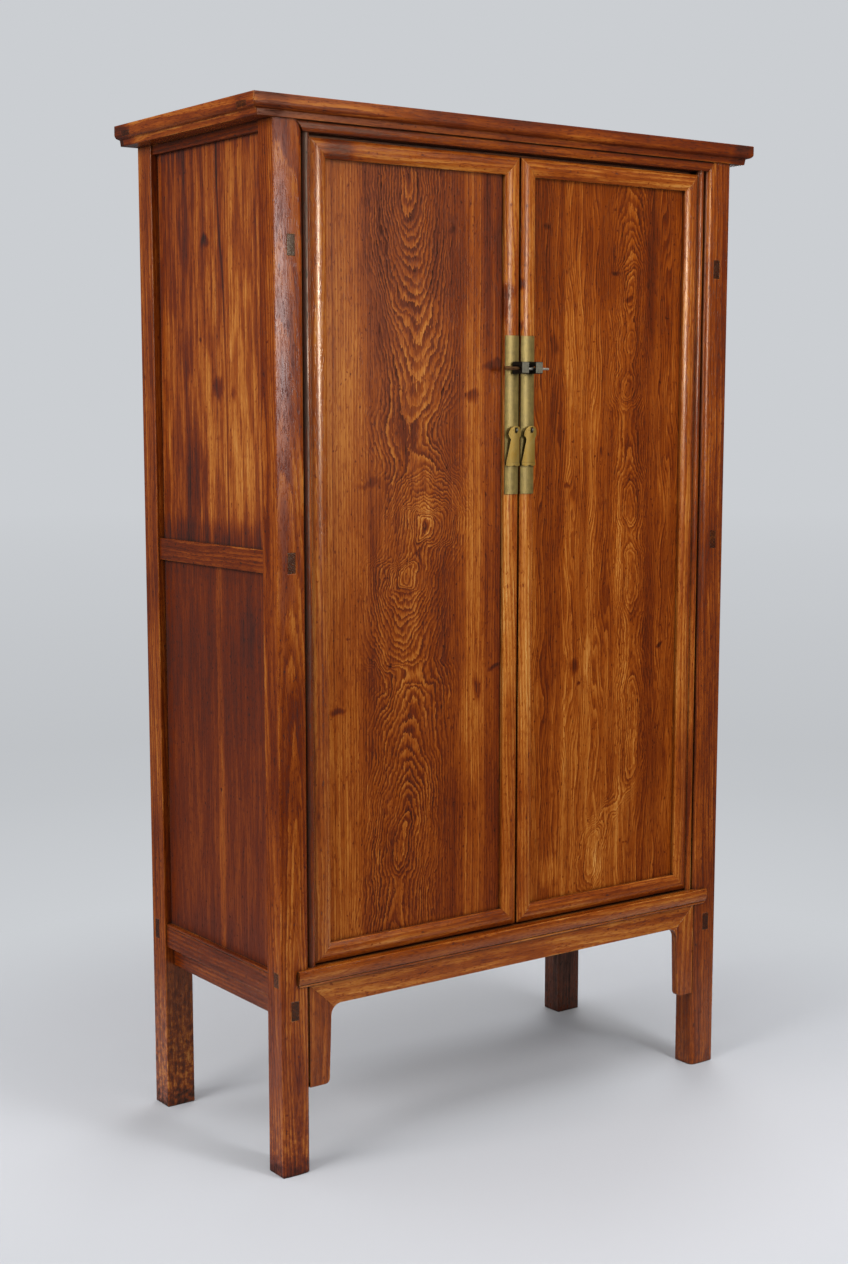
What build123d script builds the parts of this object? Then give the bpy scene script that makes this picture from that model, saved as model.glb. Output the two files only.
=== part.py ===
from build123d import *
from math import atan2, degrees
import os

# Millimetres. X runs across the front, Y from front to back, Z up.
# While building, y = 0 is the front face of the posts and z = 0 the floor.

# Overall
width = 1000.0                # across the posts
depth = 455.0                 # over the posts
height = 1775.0
side_overhang = 44.0          # of the top, past the posts
front_overhang = 16.0
rear_overhang = 1.0

# Top frame and its edge moulding, sizes measured inward and up from the underside
top_thick = 34.0
top_member = 80.0             # width of the frame members on plan
band_low = 18.0               # height at which the plain band starts to round under
band_round = 7.0              # how far it rounds in
cove_radius = 8.0             # of the round under the band
cove_low = 10.0               # top of the narrow lower fillet
cove_step = 1.2
fillet_in = 10.5              # lower fillet, inset at its top
fillet_foot = 12.0            # and at the underside
top_arris = 1.5
top_panel_thick = 12.0
top_panel_drop = 1.5          # panel surface below the frame
tongue = 6.0                  # how far any panel edge enters its groove
top_batten_wide = 36.0
top_batten_thick = 16.0
top_batten_house = 14.0       # batten end inside the frame
top_lip_share = 0.5           # of the panel's thickness left at its tongue
corner_tenon_wide = 30.0      # tenons that show at the ends of the top
corner_tenon_thick = 10.0
corner_tenon_up = 3.0         # above the lower fillet
corner_tenon_past = 12.0      # past the mitre
top_batten_at = 170.0         # from the middle, each way

# Posts
post_wide = 56.0
post_deep = 47.0
post_bow = 1.6                # convexity of the outward front face
post_round = 11.0             # large rounding beside the doors
post_arris = 1.5
foot_chamfer = 1.3            # kept under the arris, which it runs round
head_tenon = 22.0             # square tenon into the top frame
head_tenon_tall = 16.0

# Rails of the carcass
rail_recess = 4.0             # rail faces behind the post faces
rail_thick = 32.0
tenon_thick = 15.0
tenon_shoulder = 2.0          # above and below every tenon
through_set = 19.0            # side of the through tenons from the outer face of the post
stub = 17.0                   # length of hidden tenons
side_top_tall = 16.0
side_mid_low = 1021.0
side_mid_tall = 38.0
side_bottom_low = 307.0
side_bottom_tall = 43.0
side_bead = 4.0               # little bead along the top of the side bottom rail
side_quirk = 1.2
rear_tenon_back = 2.0         # rear rail tenons, behind the middle of the rail
stretcher_recess = 18.0
stretcher_tall = 37.0
shelf_batten_down = 212.0     # foot of the shelf batten below the underside of the top
shelf_batten_tall = 34.0
batten_off_panel = 1.0        # inside boards and battens clear of the side panels
rear_top_tall = 38.0
rear_bottom_low = 316.0
rear_bottom_tall = 40.0

# Carcass panels
panel_recess = 14.0
panel_thick = 8.0
board_joint_gap = 0.4
board_joint_share = 0.46      # where the two side boards meet, from the front

# Front rails and apron
top_rail_tall = 17.0
top_rail_proud = 2.0
top_rail_ease = 3.5           # depth of its rounding
opening_low = 356.0           # top of the sill
sill_low = 327.0
sill_proud = 8.0
sill_lap = 26.0               # how far the sill laps over each post
sill_bead = 2.2               # radius of the little bead under the nose
sill_quirk = 0.8              # fillet between nose and bead
sill_bead_in = 6.5            # bead behind the nose
sill_lip = 1.2                # rounding of the nose at the top
sill_undercut = 4.0           # and at its lower edge
sill_end_low = 9.0            # rounding of the ends of the nose
sill_end_high = 3.0
sill_crown_share = 0.4        # crown of the nose below its top, of its height
top_rail_lap = 15.0
stop_high = 10.0              # door stop above the sill
stop_low = 19.0               # door stop under the top rail
stop_thick = 12.0
apron_low = 286.0
apron_thick = 14.0
apron_recess = 3.0
apron_grip = 8.0              # tongue this far above the apron's lower edge
front_tenon_in = 5.0          # front rail tenons, forward of the middle of the post
spandrel_low = 148.0
spandrel_wide_top = 44.0
spandrel_wide_low = 39.0
spandrel_round = 20.0
spandrel_toe = 9.0

# Inside boards
floor_thick = 12.0
shelf_thick = 12.0
board_clear = 0.3

# Doors
door_face = 6.0               # crown of the door frame behind the post faces
door_thick = 28.0
side_gap = 2.0
meeting_gap = 4.0
meeting_at = 5.0              # the doors meet this far right of the middle
door_gap_top = 7.0
door_gap_low = 4.0
member = 31.0                 # rounded face of every door frame member
member_bow = 5.0
bead = 15.0                   # diameter of the pivot bead
door_panel_back = 12.0        # panel surface behind the crown
door_panel_thick = 8.0
door_tenon = 9.0
door_tenon_long = 22.0
door_batten_wide = 30.0       # at the root of the dovetail
door_batten_narrow = 26.0
door_batten_thick = 11.0
door_batten_sink = 4.0
door_battens = 3
batten_tenon = 12.0
bead_clear = 0.3              # bead ends clear of the rails
stop_clear = 0.5
horn = 14.0                   # diameter of the turned horns
horn_long = 11.5
socket_clear = 0.05
horn_end_clear = 0.3
top_socket_deep = 13.5
heel_round = 6.0              # back corner of the pivot stile, to clear the stops
mitre_shoulder = 8.0          # hidden tenon inside the outer edge of the door rail
tongue_clear = 1.0            # and clear of the panel's tongue
batten_shoulder = 3.0
batten_cheek = 1.0            # behind the batten tenons

# Metal work
eye_below_batten = 19.25      # middle of the lock eyes below that of the top door batten
plate_tall = 275.0
plate_thick = 1.2
plate_margin = 0.6            # plate edge inside the stile edge
plate_seat = 0.1              # between plate and wood
eye_up = 219.5                # middle of the lock eyes above the foot of the plates
eye_wide = 15.0               # along the pin
eye_tall = 20.5
eye_reach = 27.0              # in front of the plate
eye_wall = 2.6                # in front of the slot
eye_slot = 8.0
eye_slot_back = 2.0           # end of the slot in front of the plate
eye_round = 2.0
eye_hole_clear = 0.4          # round the eye in the plate
tang_wide = 8.0
tang_tall = 12.0
tang_deep = 16.0              # into the stile
left_eye_in = 10.2            # middle of each eye, in from the edge where the doors meet
right_eye_in = 16.6
pin_out = 12.0                # pin axis in front of the posts
head_long = 44.0              # thick end of the lock pin, on the left door
head_big = 7.6
head_small = 5.0
head_start = 7.0              # its tip, left of where the doors meet
tail_long = 49.0              # thin end of the lock pin, on the right door
tail_size = 4.4
tail_taper = 0.9              # its far end, as a share of its size
tail_start = 1.0              # its end, left of where the doors meet
pin_rest = 0.05               # clearance above the floor of the slot
pin_ease = 0.8
pin_flat_count = 12
stud_up = 112.0               # pivot of the pulls above the foot of the plates
stud_reach = 7.5              # pivot of the pull in front of the plate
stud_wide = 4.0
stud_ring = 8.0
stud_bore = 2.0
stud_shank = 3.4
stud_root = 12.0
stud_flange = 7.0             # side of the square rove under the ring
stud_flange_thick = 1.0
pull_pin_clear = 0.04
pull_pin_long = 13.0
pull_thick = 2.4
pull_head = 7.0               # pivot to the top of the pull
pull_long = 62.0              # pivot to the foot of the pull
pull_shoulder = 28.0
pull_waist = 19.0
pull_foot = 31.0
pull_shoulder_at = 7.0        # below the pivot
pull_waist_at = 18.0
pull_foot_clear = 0.4         # foot of the hanging pull off the plate
lip_tall = 4.0                # raised lip along the foot of the pull
lip_proud = 0.9
lip_low = 1.4                 # its lower edge below the corners, each side
lip_high = 0.8                # and above them at the middle
window_wide = 5.0
window_up = 4.6
window_down = 5.2

overcut = 1.0                 # how far every cutter runs past the face it opens

# Worked-out places
half = width / 2
inner = half - post_wide                      # half the door opening
under_top = height - top_thick
opening_top = under_top - top_rail_tall
side_top_low = under_top - side_top_tall
rear_top_low = under_top - rear_top_tall
stretcher_low = side_bottom_low - stretcher_tall
shelf_batten_low = under_top - shelf_batten_down
door_low = opening_low + door_gap_low
door_top = opening_top - door_gap_top
batten_pitch = (door_top - door_low) / (door_battens + 1)
eye_height = door_low + batten_pitch * door_battens - eye_below_batten
plate_low = eye_height - eye_up
stud_height = plate_low + stud_up
door_back = door_face + door_thick
hinge_x = inner - side_gap - bead / 2
hinge_y = door_face + bead / 2
frame_x = hinge_x - bead / 2                  # outer edge of the mitred frame
left_meeting = meeting_at - meeting_gap / 2   # x of the left door's free edge
right_meeting = meeting_at + meeting_gap / 2
front_stop = door_back + stop_clear
rear_panel_in = depth - panel_recess - panel_thick
plate_front = door_face - plate_seat - plate_thick
eye_front = plate_front - eye_reach
pivot_y = plate_front - stud_reach


def block(x0, x1, y0, y1, z0, z1):
    """A box between two corners."""
    return Pos((x0 + x1) / 2, (y0 + y1) / 2, (z0 + z1) / 2) * Box(x1 - x0, y1 - y0, z1 - z0)


def drum(radius, start, end):
    """A cylinder between two points."""
    axis = Vector(*end) - Vector(*start)
    return Solid.make_cylinder(radius, axis.length, Plane(origin=start, z_dir=axis))


def along_z(outline, z0, z1):
    """An outline in X and Y, raised from z0 to z1."""
    return Pos(0, 0, z0) * extrude(outline, z1 - z0, dir=(0, 0, 1))


def along_x(outline, x0, x1):
    """An outline whose x is Y and whose y is Z, run from x0 to x1."""
    lying = Plane(origin=(x0, 0, 0), x_dir=(0, 1, 0), z_dir=(1, 0, 0)) * outline
    return extrude(lying, x1 - x0, dir=(1, 0, 0))


def along_y(outline, y0, y1):
    """An outline whose x is X and whose y is Z, run from y0 to y1."""
    standing = Plane(origin=(0, y0, 0), x_dir=(1, 0, 0), z_dir=(0, -1, 0)) * outline
    return extrude(standing, y1 - y0, dir=(0, 1, 0))


def carve(piece, *mates):
    """Cut the room that each mate takes in this piece."""
    for mate in mates:
        for solid in mate.solids():
            piece = piece - solid
    return piece


def mirrored(piece):
    return mirror(piece, Plane.YZ)


# Posts -------------------------------------------------------------------------------

def front_post_blank():
    """Left front post before its joints are cut: bowed face, large inner rounding."""
    x_out, x_in = -half, -inner
    face = Line((x_in, post_bow), (x_in, post_deep))
    back = Line((x_in, post_deep), (x_out, post_deep))
    outer = Line((x_out, post_deep), (x_out, post_bow))
    front = ThreePointArc((x_out, post_bow), ((x_out + x_in) / 2, 0), (x_in, post_bow))
    blank = along_z(make_face(face + back + outer + front), 0, under_top)
    uprights = blank.edges().filter_by(Axis.Z)
    beside_door = uprights.sort_by_distance((x_in, post_bow, under_top / 2))[0]
    blank = fillet(beside_door, post_round)
    return finish_post(blank, x_out, 0)


def rear_post_blank():
    """Left rear post before its joints are cut."""
    blank = block(-half, -inner, depth - post_deep, depth, 0, under_top)
    return finish_post(blank, -half, depth - post_deep)


def finish_post(blank, x_out, y_front):
    """Ease the sharp arrises, chamfer the foot and add the head tenon."""
    corners = [(x_out, y_front + post_bow * (y_front == 0)), (x_out, y_front + post_deep),
               (x_out + post_wide, y_front + post_deep)]
    if y_front:
        corners.append((x_out + post_wide, y_front))
    uprights = blank.edges().filter_by(Axis.Z)
    sharp = [uprights.sort_by_distance((x, y, under_top / 2))[0] for x, y in corners]
    blank = fillet(sharp, post_arris)
    blank = chamfer(blank.faces().sort_by(Axis.Z)[0].edges(), foot_chamfer)
    x_mid, y_mid = x_out + post_wide / 2, y_front + post_deep / 2
    tenon = block(x_mid - head_tenon / 2, x_mid + head_tenon / 2,
                  y_mid - head_tenon / 2, y_mid + head_tenon / 2,
                  under_top, under_top + head_tenon_tall)
    return blank + tenon


front_blank = front_post_blank()
rear_blank = rear_post_blank()
front_blank_right = mirrored(front_blank)
rear_blank_right = mirrored(rear_blank)


# Front rails -------------------------------------------------------------------------

rail_back = front_stop + stop_thick


def sill_section():
    """Y and Z outline of the sill: proud nose, small bead, and the door stop."""
    nose_low = sill_low + 2 * sill_bead + sill_quirk
    bead_y = -sill_proud + sill_bead_in
    nose_foot = (-sill_proud + sill_undercut, nose_low)
    top_lip = (-sill_proud + sill_lip, opening_low)
    crown = opening_low - (opening_low - nose_low) * sill_crown_share
    nose = ThreePointArc(top_lip, (-sill_proud, crown), nose_foot)
    quirk = Polyline(nose_foot, (bead_y, nose_low), (bead_y, sill_low + 2 * sill_bead))
    little_bead = ThreePointArc((bead_y, sill_low + 2 * sill_bead),
                                (bead_y - sill_bead, sill_low + sill_bead), (bead_y, sill_low))
    rest = Polyline((bead_y, sill_low), (rail_back, sill_low),
                    (rail_back, opening_low + stop_high), (front_stop, opening_low + stop_high),
                    (front_stop, opening_low), top_lip)
    return make_face(nose + quirk + little_bead + rest)


def rounded_ends(reach, z0, z1, low_round, high_round):
    """X and Z outline with rounded corners, used to shape the ends of the sill."""
    outline = Pos(0, (z0 + z1) / 2) * Rectangle(2 * reach, z1 - z0)
    low = outline.vertices().filter_by_position(Axis.Y, z0 - 0.1, z0 + 0.1)
    outline = fillet(low, low_round)
    high = outline.vertices().filter_by_position(Axis.Y, z1 - 0.1, z1 + 0.1)
    return fillet(high, high_round)


def make_sill():
    """Bottom rail: laps over the rounded posts, through tenons, sockets for the horns."""
    reach = inner + sill_lap
    rail = along_x(sill_section(), -reach, reach)
    top = opening_low + stop_high
    ends = rounded_ends(reach, sill_low, top, sill_end_low, sill_end_high)
    rail = rail & along_y(ends, -2 * sill_proud, depth)
    rail = carve(rail, front_blank, front_blank_right)
    y_mid = post_deep / 2 - front_tenon_in
    tenon = block(-half, -inner, y_mid - tenon_thick / 2, y_mid + tenon_thick / 2,
                  sill_low + tenon_shoulder, opening_low - tenon_shoulder) & front_blank
    rail = rail + tenon + mirrored(tenon)
    floor = opening_low + bead_clear - horn_long - horn_end_clear
    for side in (-1, 1):
        rail = rail - drum(horn / 2 + socket_clear, (side * hinge_x, hinge_y, floor),
                           (side * hinge_x, hinge_y, opening_low + overcut))
    return rail


def make_front_top_rail():
    """Top rail: rounded face with mitred shoulders, door stop, sockets for the horns."""
    edge_y = -top_rail_proud + top_rail_ease
    low, high = opening_top, under_top
    face = ThreePointArc((edge_y, low), (-top_rail_proud, (low + high) / 2), (edge_y, high))
    rest = Polyline((edge_y, high), (rail_back, high), (rail_back, low - stop_low),
                    (front_stop, low - stop_low), (front_stop, low), (edge_y, low))
    rail = along_x(make_face(face + rest), -half, half)
    shoulders = make_face(Polyline(
        (-inner - top_rail_lap, high), (inner + top_rail_lap, high), (inner, low),
        (inner, low - stop_low), (-inner, low - stop_low), (-inner, low), close=True))
    rail = rail & along_y(shoulders, -depth, depth)
    rail = carve(rail, front_blank, front_blank_right)
    y_mid = post_deep / 2 - front_tenon_in
    tenon = block(-inner - stub, -inner, y_mid - tenon_thick / 2, y_mid + tenon_thick / 2,
                  low + tenon_shoulder, high - tenon_shoulder)
    rail = rail + tenon + mirrored(tenon)
    for side in (-1, 1):
        rail = rail - drum(horn / 2 + socket_clear, (side * hinge_x, hinge_y, low - overcut),
                           (side * hinge_x, hinge_y, low + top_socket_deep))
    return rail


def make_apron():
    """Apron and the two spandrels: one outline, parted along the mitres."""
    low_in = inner - spandrel_wide_low
    top_in = inner - spandrel_wide_top
    outline = make_face(Polyline(
        (-inner, sill_low), (inner, sill_low), (inner, spandrel_low), (low_in, spandrel_low),
        (top_in, apron_low), (-top_in, apron_low), (-low_in, spandrel_low),
        (-inner, spandrel_low), close=True))
    for x in (-top_in, top_in):
        outline = fillet(outline.vertices().sort_by_distance((x, apron_low))[0], spandrel_round)
    for x in (-low_in, low_in):
        outline = fillet(outline.vertices().sort_by_distance((x, spandrel_low))[0], spandrel_toe)
    board = along_y(outline, apron_recess, apron_recess + apron_thick)
    run = Vector(spandrel_wide_top, apron_low - sill_low)
    corner = Vector(-inner, sill_low)
    far = corner + run * 2.5
    side = make_face(Polyline((corner.X, corner.Y), (far.X, far.Y),
                              (far.X, spandrel_low - overcut), (-inner, spandrel_low - overcut),
                              close=True))
    cutter = along_y(side, 0, post_deep)
    spandrel = board & cutter
    apron = carve(board, cutter, mirrored(cutter))
    y0 = apron_recess + (apron_thick - panel_thick) / 2
    apron = apron + block(-inner + spandrel_wide_top, inner - spandrel_wide_top,
                          y0, y0 + panel_thick, apron_low + apron_grip, sill_low + tongue)
    spandrel = spandrel + block(-inner - tongue, -inner + tongue, y0, y0 + panel_thick,
                                spandrel_low + spandrel_toe, sill_low - tongue)
    return apron, spandrel


front_top_rail = make_front_top_rail()
front_bottom_rail = make_sill()
front_apron, left_spandrel = make_apron()
right_spandrel = mirrored(left_spandrel)
front_bottom_rail = carve(front_bottom_rail, front_apron)


# Side and rear rails, all for the left side -------------------------------------------

side_face = -half + rail_recess
front_joint = post_deep
rear_joint = depth - post_deep


def through_bar(x0, z0, z1):
    """A bar that runs through both left posts and ends flush with their faces."""
    front_end = block(x0, x0 + tenon_thick, 0, front_joint, z0, z1) & front_blank
    return front_end + block(x0, x0 + tenon_thick, front_joint, depth, z0, z1)


def side_rail(z0, z1, through):
    """A rail between the left posts, with hidden or through tenons."""
    rail = block(side_face, side_face + rail_thick, front_joint, rear_joint, z0, z1)
    x0 = -half + through_set
    z0, z1 = z0 + tenon_shoulder, z1 - tenon_shoulder
    if through:
        return rail + through_bar(x0, z0, z1)
    return rail + block(x0, x0 + tenon_thick, front_joint - stub, rear_joint + stub, z0, z1)


left_side_top_rail = side_rail(side_top_low, under_top, False)
left_side_mid_rail = side_rail(side_mid_low, side_mid_low + side_mid_tall, True)
left_side_bottom_rail = side_rail(side_bottom_low, side_bottom_low + side_bottom_tall, False)


def beaded(rail):
    """Run a little quirk along the outer face, just under the top edge of the side rail."""
    z = side_bottom_low + side_bottom_tall - side_bead
    quirk = block(side_face - overcut, side_face + side_quirk, front_joint, rear_joint,
                  z - side_quirk, z)
    return rail - quirk


left_side_bottom_rail = beaded(left_side_bottom_rail)


def make_stretcher():
    """Plain lower stretcher, set back under the side rail, tenoned through both posts."""
    x0 = -half + stretcher_recess
    bar = block(x0, x0 + tenon_thick, front_joint, rear_joint, stretcher_low, side_bottom_low)
    return bar + through_bar(x0, stretcher_low + tenon_shoulder, side_bottom_low - tenon_shoulder)


def make_shelf_batten():
    """Inner batten that carries the upper shelf, tenoned through both posts."""
    x0 = -half + panel_recess + panel_thick + batten_off_panel
    return through_bar(x0, shelf_batten_low, shelf_batten_low + shelf_batten_tall)


left_stretcher = make_stretcher()
left_shelf_batten = make_shelf_batten()
rear_y0 = depth - rail_recess - rail_thick
rear_y1 = depth - rail_recess


def rear_rail(z0, z1, through):
    """A rail between the rear posts."""
    rail = block(-inner, inner, rear_y0, rear_y1, z0, z1)
    y0 = (rear_y0 + rear_y1 - tenon_thick) / 2 + rear_tenon_back
    reach = half if through else inner + stub
    tenon = block(-reach, reach, y0, y0 + tenon_thick, z0 + tenon_shoulder, z1 - tenon_shoulder)
    return rail + tenon


rear_top_rail = rear_rail(rear_top_low, under_top, False)
rear_mid_rail = rear_rail(side_mid_low, side_mid_low + side_mid_tall, False)
rear_bottom_rail = rear_rail(rear_bottom_low, rear_bottom_low + rear_bottom_tall, True)


# Carcass panels ------------------------------------------------------------------------

def side_boards(z0, z1):
    """Two boards of a left side panel, tongued into posts and rails."""
    x0 = -half + panel_recess
    y0, y1 = front_joint - tongue, rear_joint + tongue
    joint = y0 + (y1 - y0) * board_joint_share
    front = block(x0, x0 + panel_thick, y0, joint - board_joint_gap / 2, z0 - tongue, z1 + tongue)
    rear = block(x0, x0 + panel_thick, joint + board_joint_gap / 2, y1, z0 - tongue, z1 + tongue)
    return Compound([front, rear])


def rear_boards(z0, z1, count):
    """Boards of a back panel, side by side across the opening."""
    x0, x1 = -inner - tongue, inner + tongue
    pitch = (x1 - x0 + board_joint_gap) / count
    boards = []
    for n in range(count):
        left = x0 + n * pitch
        boards.append(block(left, left + pitch - board_joint_gap,
                            rear_panel_in, rear_panel_in + panel_thick, z0 - tongue, z1 + tongue))
    return Compound(boards)


mid_top = side_mid_low + side_mid_tall
left_upper_panel = side_boards(mid_top, side_top_low)
left_lower_panel = side_boards(side_bottom_low + side_bottom_tall, side_mid_low)
rear_upper_panel = rear_boards(mid_top, rear_top_low, 4)
rear_lower_panel = rear_boards(rear_bottom_low + rear_bottom_tall, side_mid_low, 4)

left_side_top_rail = carve(left_side_top_rail, left_upper_panel)
left_side_mid_rail = carve(left_side_mid_rail, left_upper_panel, left_lower_panel)
left_side_bottom_rail = carve(left_side_bottom_rail, left_lower_panel)
rear_top_rail = carve(rear_top_rail, rear_upper_panel)
rear_mid_rail = carve(rear_mid_rail, rear_upper_panel, rear_lower_panel)
rear_bottom_rail = carve(rear_bottom_rail, rear_lower_panel)

front_left_post = carve(front_blank, front_top_rail, front_bottom_rail, left_spandrel,
                        left_side_top_rail, left_side_mid_rail, left_side_bottom_rail,
                        left_stretcher, left_shelf_batten, left_upper_panel, left_lower_panel)
rear_left_post = carve(rear_blank, rear_top_rail, rear_mid_rail, rear_bottom_rail,
                       left_side_top_rail, left_side_mid_rail, left_side_bottom_rail,
                       left_stretcher, left_shelf_batten, left_upper_panel, left_lower_panel,
                       rear_upper_panel, rear_lower_panel)


# Inside boards --------------------------------------------------------------------------

def shelf(z, thick, y_back):
    """A board across the inside, notched round the rear posts."""
    x1 = half - panel_recess - panel_thick - batten_off_panel
    board = block(-x1, x1, front_joint + board_clear, y_back, z, z + thick)
    notch = block(-half, -inner + board_clear, rear_joint - board_clear, depth,
                  z - overcut, z + thick + overcut)
    return carve(board, notch, mirrored(notch))


floor_board = shelf(side_bottom_low + side_bottom_tall, floor_thick, rear_y0 - board_clear)
middle_shelf = shelf(mid_top, shelf_thick, rear_panel_in - board_clear)
upper_shelf = shelf(shelf_batten_low + shelf_batten_tall, shelf_thick, rear_panel_in - board_clear)


# Top -------------------------------------------------------------------------------------

def edge_section(run):
    """Moulded edge, x inward from the outermost face and y up; run is how far in it goes."""
    top = top_thick
    lines = Line((run, 0), (fillet_foot, 0))
    lines += Line((fillet_foot, 0), (fillet_in, cove_low))
    lines += Line((fillet_in, cove_low), (band_round, cove_low + cove_step))
    lines += RadiusArc((band_round, cove_low + cove_step), (0, band_low), cove_radius)
    lines += Line((0, band_low), (0, top - top_arris))
    lines += RadiusArc((0, top - top_arris), (top_arris, top), top_arris)
    lines += Line((top_arris, top), (run, top))
    lines += Line((run, top), (run, 0))
    return make_face(lines)


left_edge = -half - side_overhang
front_edge = -front_overhang
rear_edge = depth + rear_overhang


def make_top():
    """Mitred frame, moulded on three edges, with a floating panel over two battens."""
    plan_deep = rear_edge - front_edge
    front_run = Pos(front_edge, under_top) * edge_section(plan_deep)
    slab = along_x(front_run, left_edge, -left_edge)
    side_run = Pos(left_edge, under_top) * edge_section(half + side_overhang)
    side = along_y(side_run, front_edge, rear_edge)
    slab = slab & (side + mirrored(side))
    w = top_member
    x0, y0, y1 = left_edge, front_edge, rear_edge
    front_plan = make_face(Polyline((x0, y0), (-x0, y0), (-x0 - w, y0 + w), (x0 + w, y0 + w),
                                    close=True))
    rear_plan = make_face(Polyline((x0, y1), (-x0, y1), (-x0 - w, y1 - w), (x0 + w, y1 - w),
                                   close=True))
    left_plan = make_face(Polyline((x0, y0), (x0 + w, y0 + w), (x0 + w, y1 - w), (x0, y1),
                                   close=True))
    front = slab & along_z(front_plan, under_top, height)
    rear = slab & along_z(rear_plan, under_top, height)
    left = slab & along_z(left_plan, under_top, height)
    z0 = height - top_panel_drop - top_panel_thick
    panel = block(x0 + w, -x0 - w, y0 + w, y1 - w, z0, height - top_panel_drop)
    lip = block(x0 + w - tongue, -x0 - w + tongue, y0 + w - tongue, y1 - w + tongue,
                z0, z0 + top_panel_thick * top_lip_share)
    panel = panel + lip
    battens = []
    for x in (-top_batten_at, top_batten_at):
        batten = block(x - top_batten_wide / 2, x + top_batten_wide / 2,
                       y0 + w - top_batten_house, y1 - w + top_batten_house,
                       z0 - top_batten_thick, z0)
        battens.append(batten)
    battens = Compound(battens)
    tenon_z = under_top + cove_low + corner_tenon_up
    tenons = []
    for y in (y0 + w / 2, y1 - w / 2):
        blank = block(x0, x0 + w + corner_tenon_past, y - corner_tenon_wide / 2,
                      y + corner_tenon_wide / 2, tenon_z, tenon_z + corner_tenon_thick)
        tenons.append(blank)
    front = front + (tenons[0] & slab & along_z(left_plan, under_top, height))
    rear = rear + (tenons[1] & slab & along_z(left_plan, under_top, height))
    front = front + mirrored(front)
    rear = rear + mirrored(rear)
    front = carve(front, panel, battens, front_blank, front_blank_right)
    rear = carve(rear, panel, battens, rear_blank, rear_blank_right)
    left = carve(left, front, rear, panel, front_blank, rear_blank)
    return front, rear, left, panel, battens


top_frame_front, top_frame_rear, top_frame_left, top_panel, top_battens = make_top()


# Doors, built as the left one and mirrored for the right ----------------------------------

panel_y0 = door_face + door_panel_back
panel_y1 = panel_y0 + door_panel_thick
bow_radius = ((member / 2) ** 2 + member_bow ** 2) / (2 * member_bow)
door_x0 = -frame_x


def stile_section(x0):
    """X and Y outline of an upright frame member with its bowed face."""
    x1 = x0 + member
    edge = door_face + member_bow
    face = ThreePointArc((x0, edge), (x0 + member / 2, door_face), (x1, edge))
    rest = Polyline((x1, edge), (x1, door_back), (x0, door_back), (x0, edge))
    return make_face(face + rest)


def rail_section(z0):
    """Y and Z outline of a level frame member with the same bowed face."""
    z1 = z0 + member
    edge = door_face + member_bow
    face = ThreePointArc((edge, z0), (door_face, z0 + member / 2), (edge, z1))
    rest = Polyline((edge, z1), (door_back, z1), (door_back, z0), (edge, z0))
    return make_face(face + rest)


def door_rail(edge, z_out, z_in):
    """A door rail mitred at both ends, with a hidden tenon through each mitre."""
    rail = along_x(rail_section(min(z_out, z_in)), door_x0, edge)
    mitred = make_face(Polyline((door_x0, z_out), (edge, z_out), (edge - member, z_in),
                                (door_x0 + member, z_in), close=True))
    rail = rail & along_y(mitred, door_face - overcut, door_back + overcut)
    y_mid = (panel_y0 + panel_y1) / 2
    way = 1 if z_out > z_in else -1
    z0, z1 = sorted((z_in + way * (tongue + tongue_clear), z_out - way * mitre_shoulder))
    for x, run in ((door_x0 + member, 1), (edge - member, -1)):
        x0, x1 = sorted((x - run * door_tenon_long, x + run))
        tenon = block(x0, x1, y_mid - door_tenon / 2, y_mid + door_tenon / 2, z0, z1)
        rail = rail + tenon
    return rail


def door_batten(edge, z):
    """Cross batten, dovetailed into the back of the panel and tenoned into the stiles."""
    y0 = panel_y1 - door_batten_sink
    wide, narrow = door_batten_wide / 2, door_batten_narrow / 2
    section = make_face(Polyline((y0, z - wide), (panel_y1, z - narrow),
                                 (y0 + door_batten_thick, z - narrow),
                                 (y0 + door_batten_thick, z + narrow), (panel_y1, z + narrow),
                                 (y0, z + wide), close=True))
    bar = along_x(section, door_x0 + member, edge - member)
    tenon = block(door_x0 + member - batten_tenon, edge - member + batten_tenon,
                  panel_y1, y0 + door_batten_thick - batten_cheek,
                  z - narrow + batten_shoulder, z + narrow - batten_shoulder)
    return bar + tenon


def lock_eye(x, x_mid):
    """Forged eye: a head with a slot along the pin, on a tang driven into the stile."""
    head = block(x - eye_wide / 2, x + eye_wide / 2, eye_front, door_face + member_bow,
                 eye_height - eye_tall / 2, eye_height + eye_tall / 2)
    front = head.faces().sort_by(Axis.Y)[0]
    head = fillet(front.edges().filter_by(Axis.X), eye_round)
    r = eye_slot / 2
    y0, y1 = eye_front + eye_wall + r, plate_front - eye_slot_back - r
    slot = block(x - eye_wide, x + eye_wide, y0, y1, eye_height - r, eye_height + r)
    for y in (y0, y1):
        slot = slot + drum(r, (x - eye_wide, y, eye_height), (x + eye_wide, y, eye_height))
    head = carve(head - slot, plate_band(x_mid))
    tang = block(x - tang_wide / 2, x + tang_wide / 2, plate_front - overcut, door_face + tang_deep,
                 eye_height - tang_tall / 2, eye_height + tang_tall / 2)
    return head + tang


def plate_band(x_mid):
    """The space behind the plate's face: the bowed plate and everything behind it."""
    centre = (x_mid, door_face + bow_radius)
    disc = Pos(*centre) * Circle(bow_radius + plate_seat + plate_thick)
    window = Pos(x_mid, door_face) * Rectangle(2 * member, 2 * member_bow)
    return along_z(disc & window, plate_low, plate_low + plate_tall)


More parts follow.
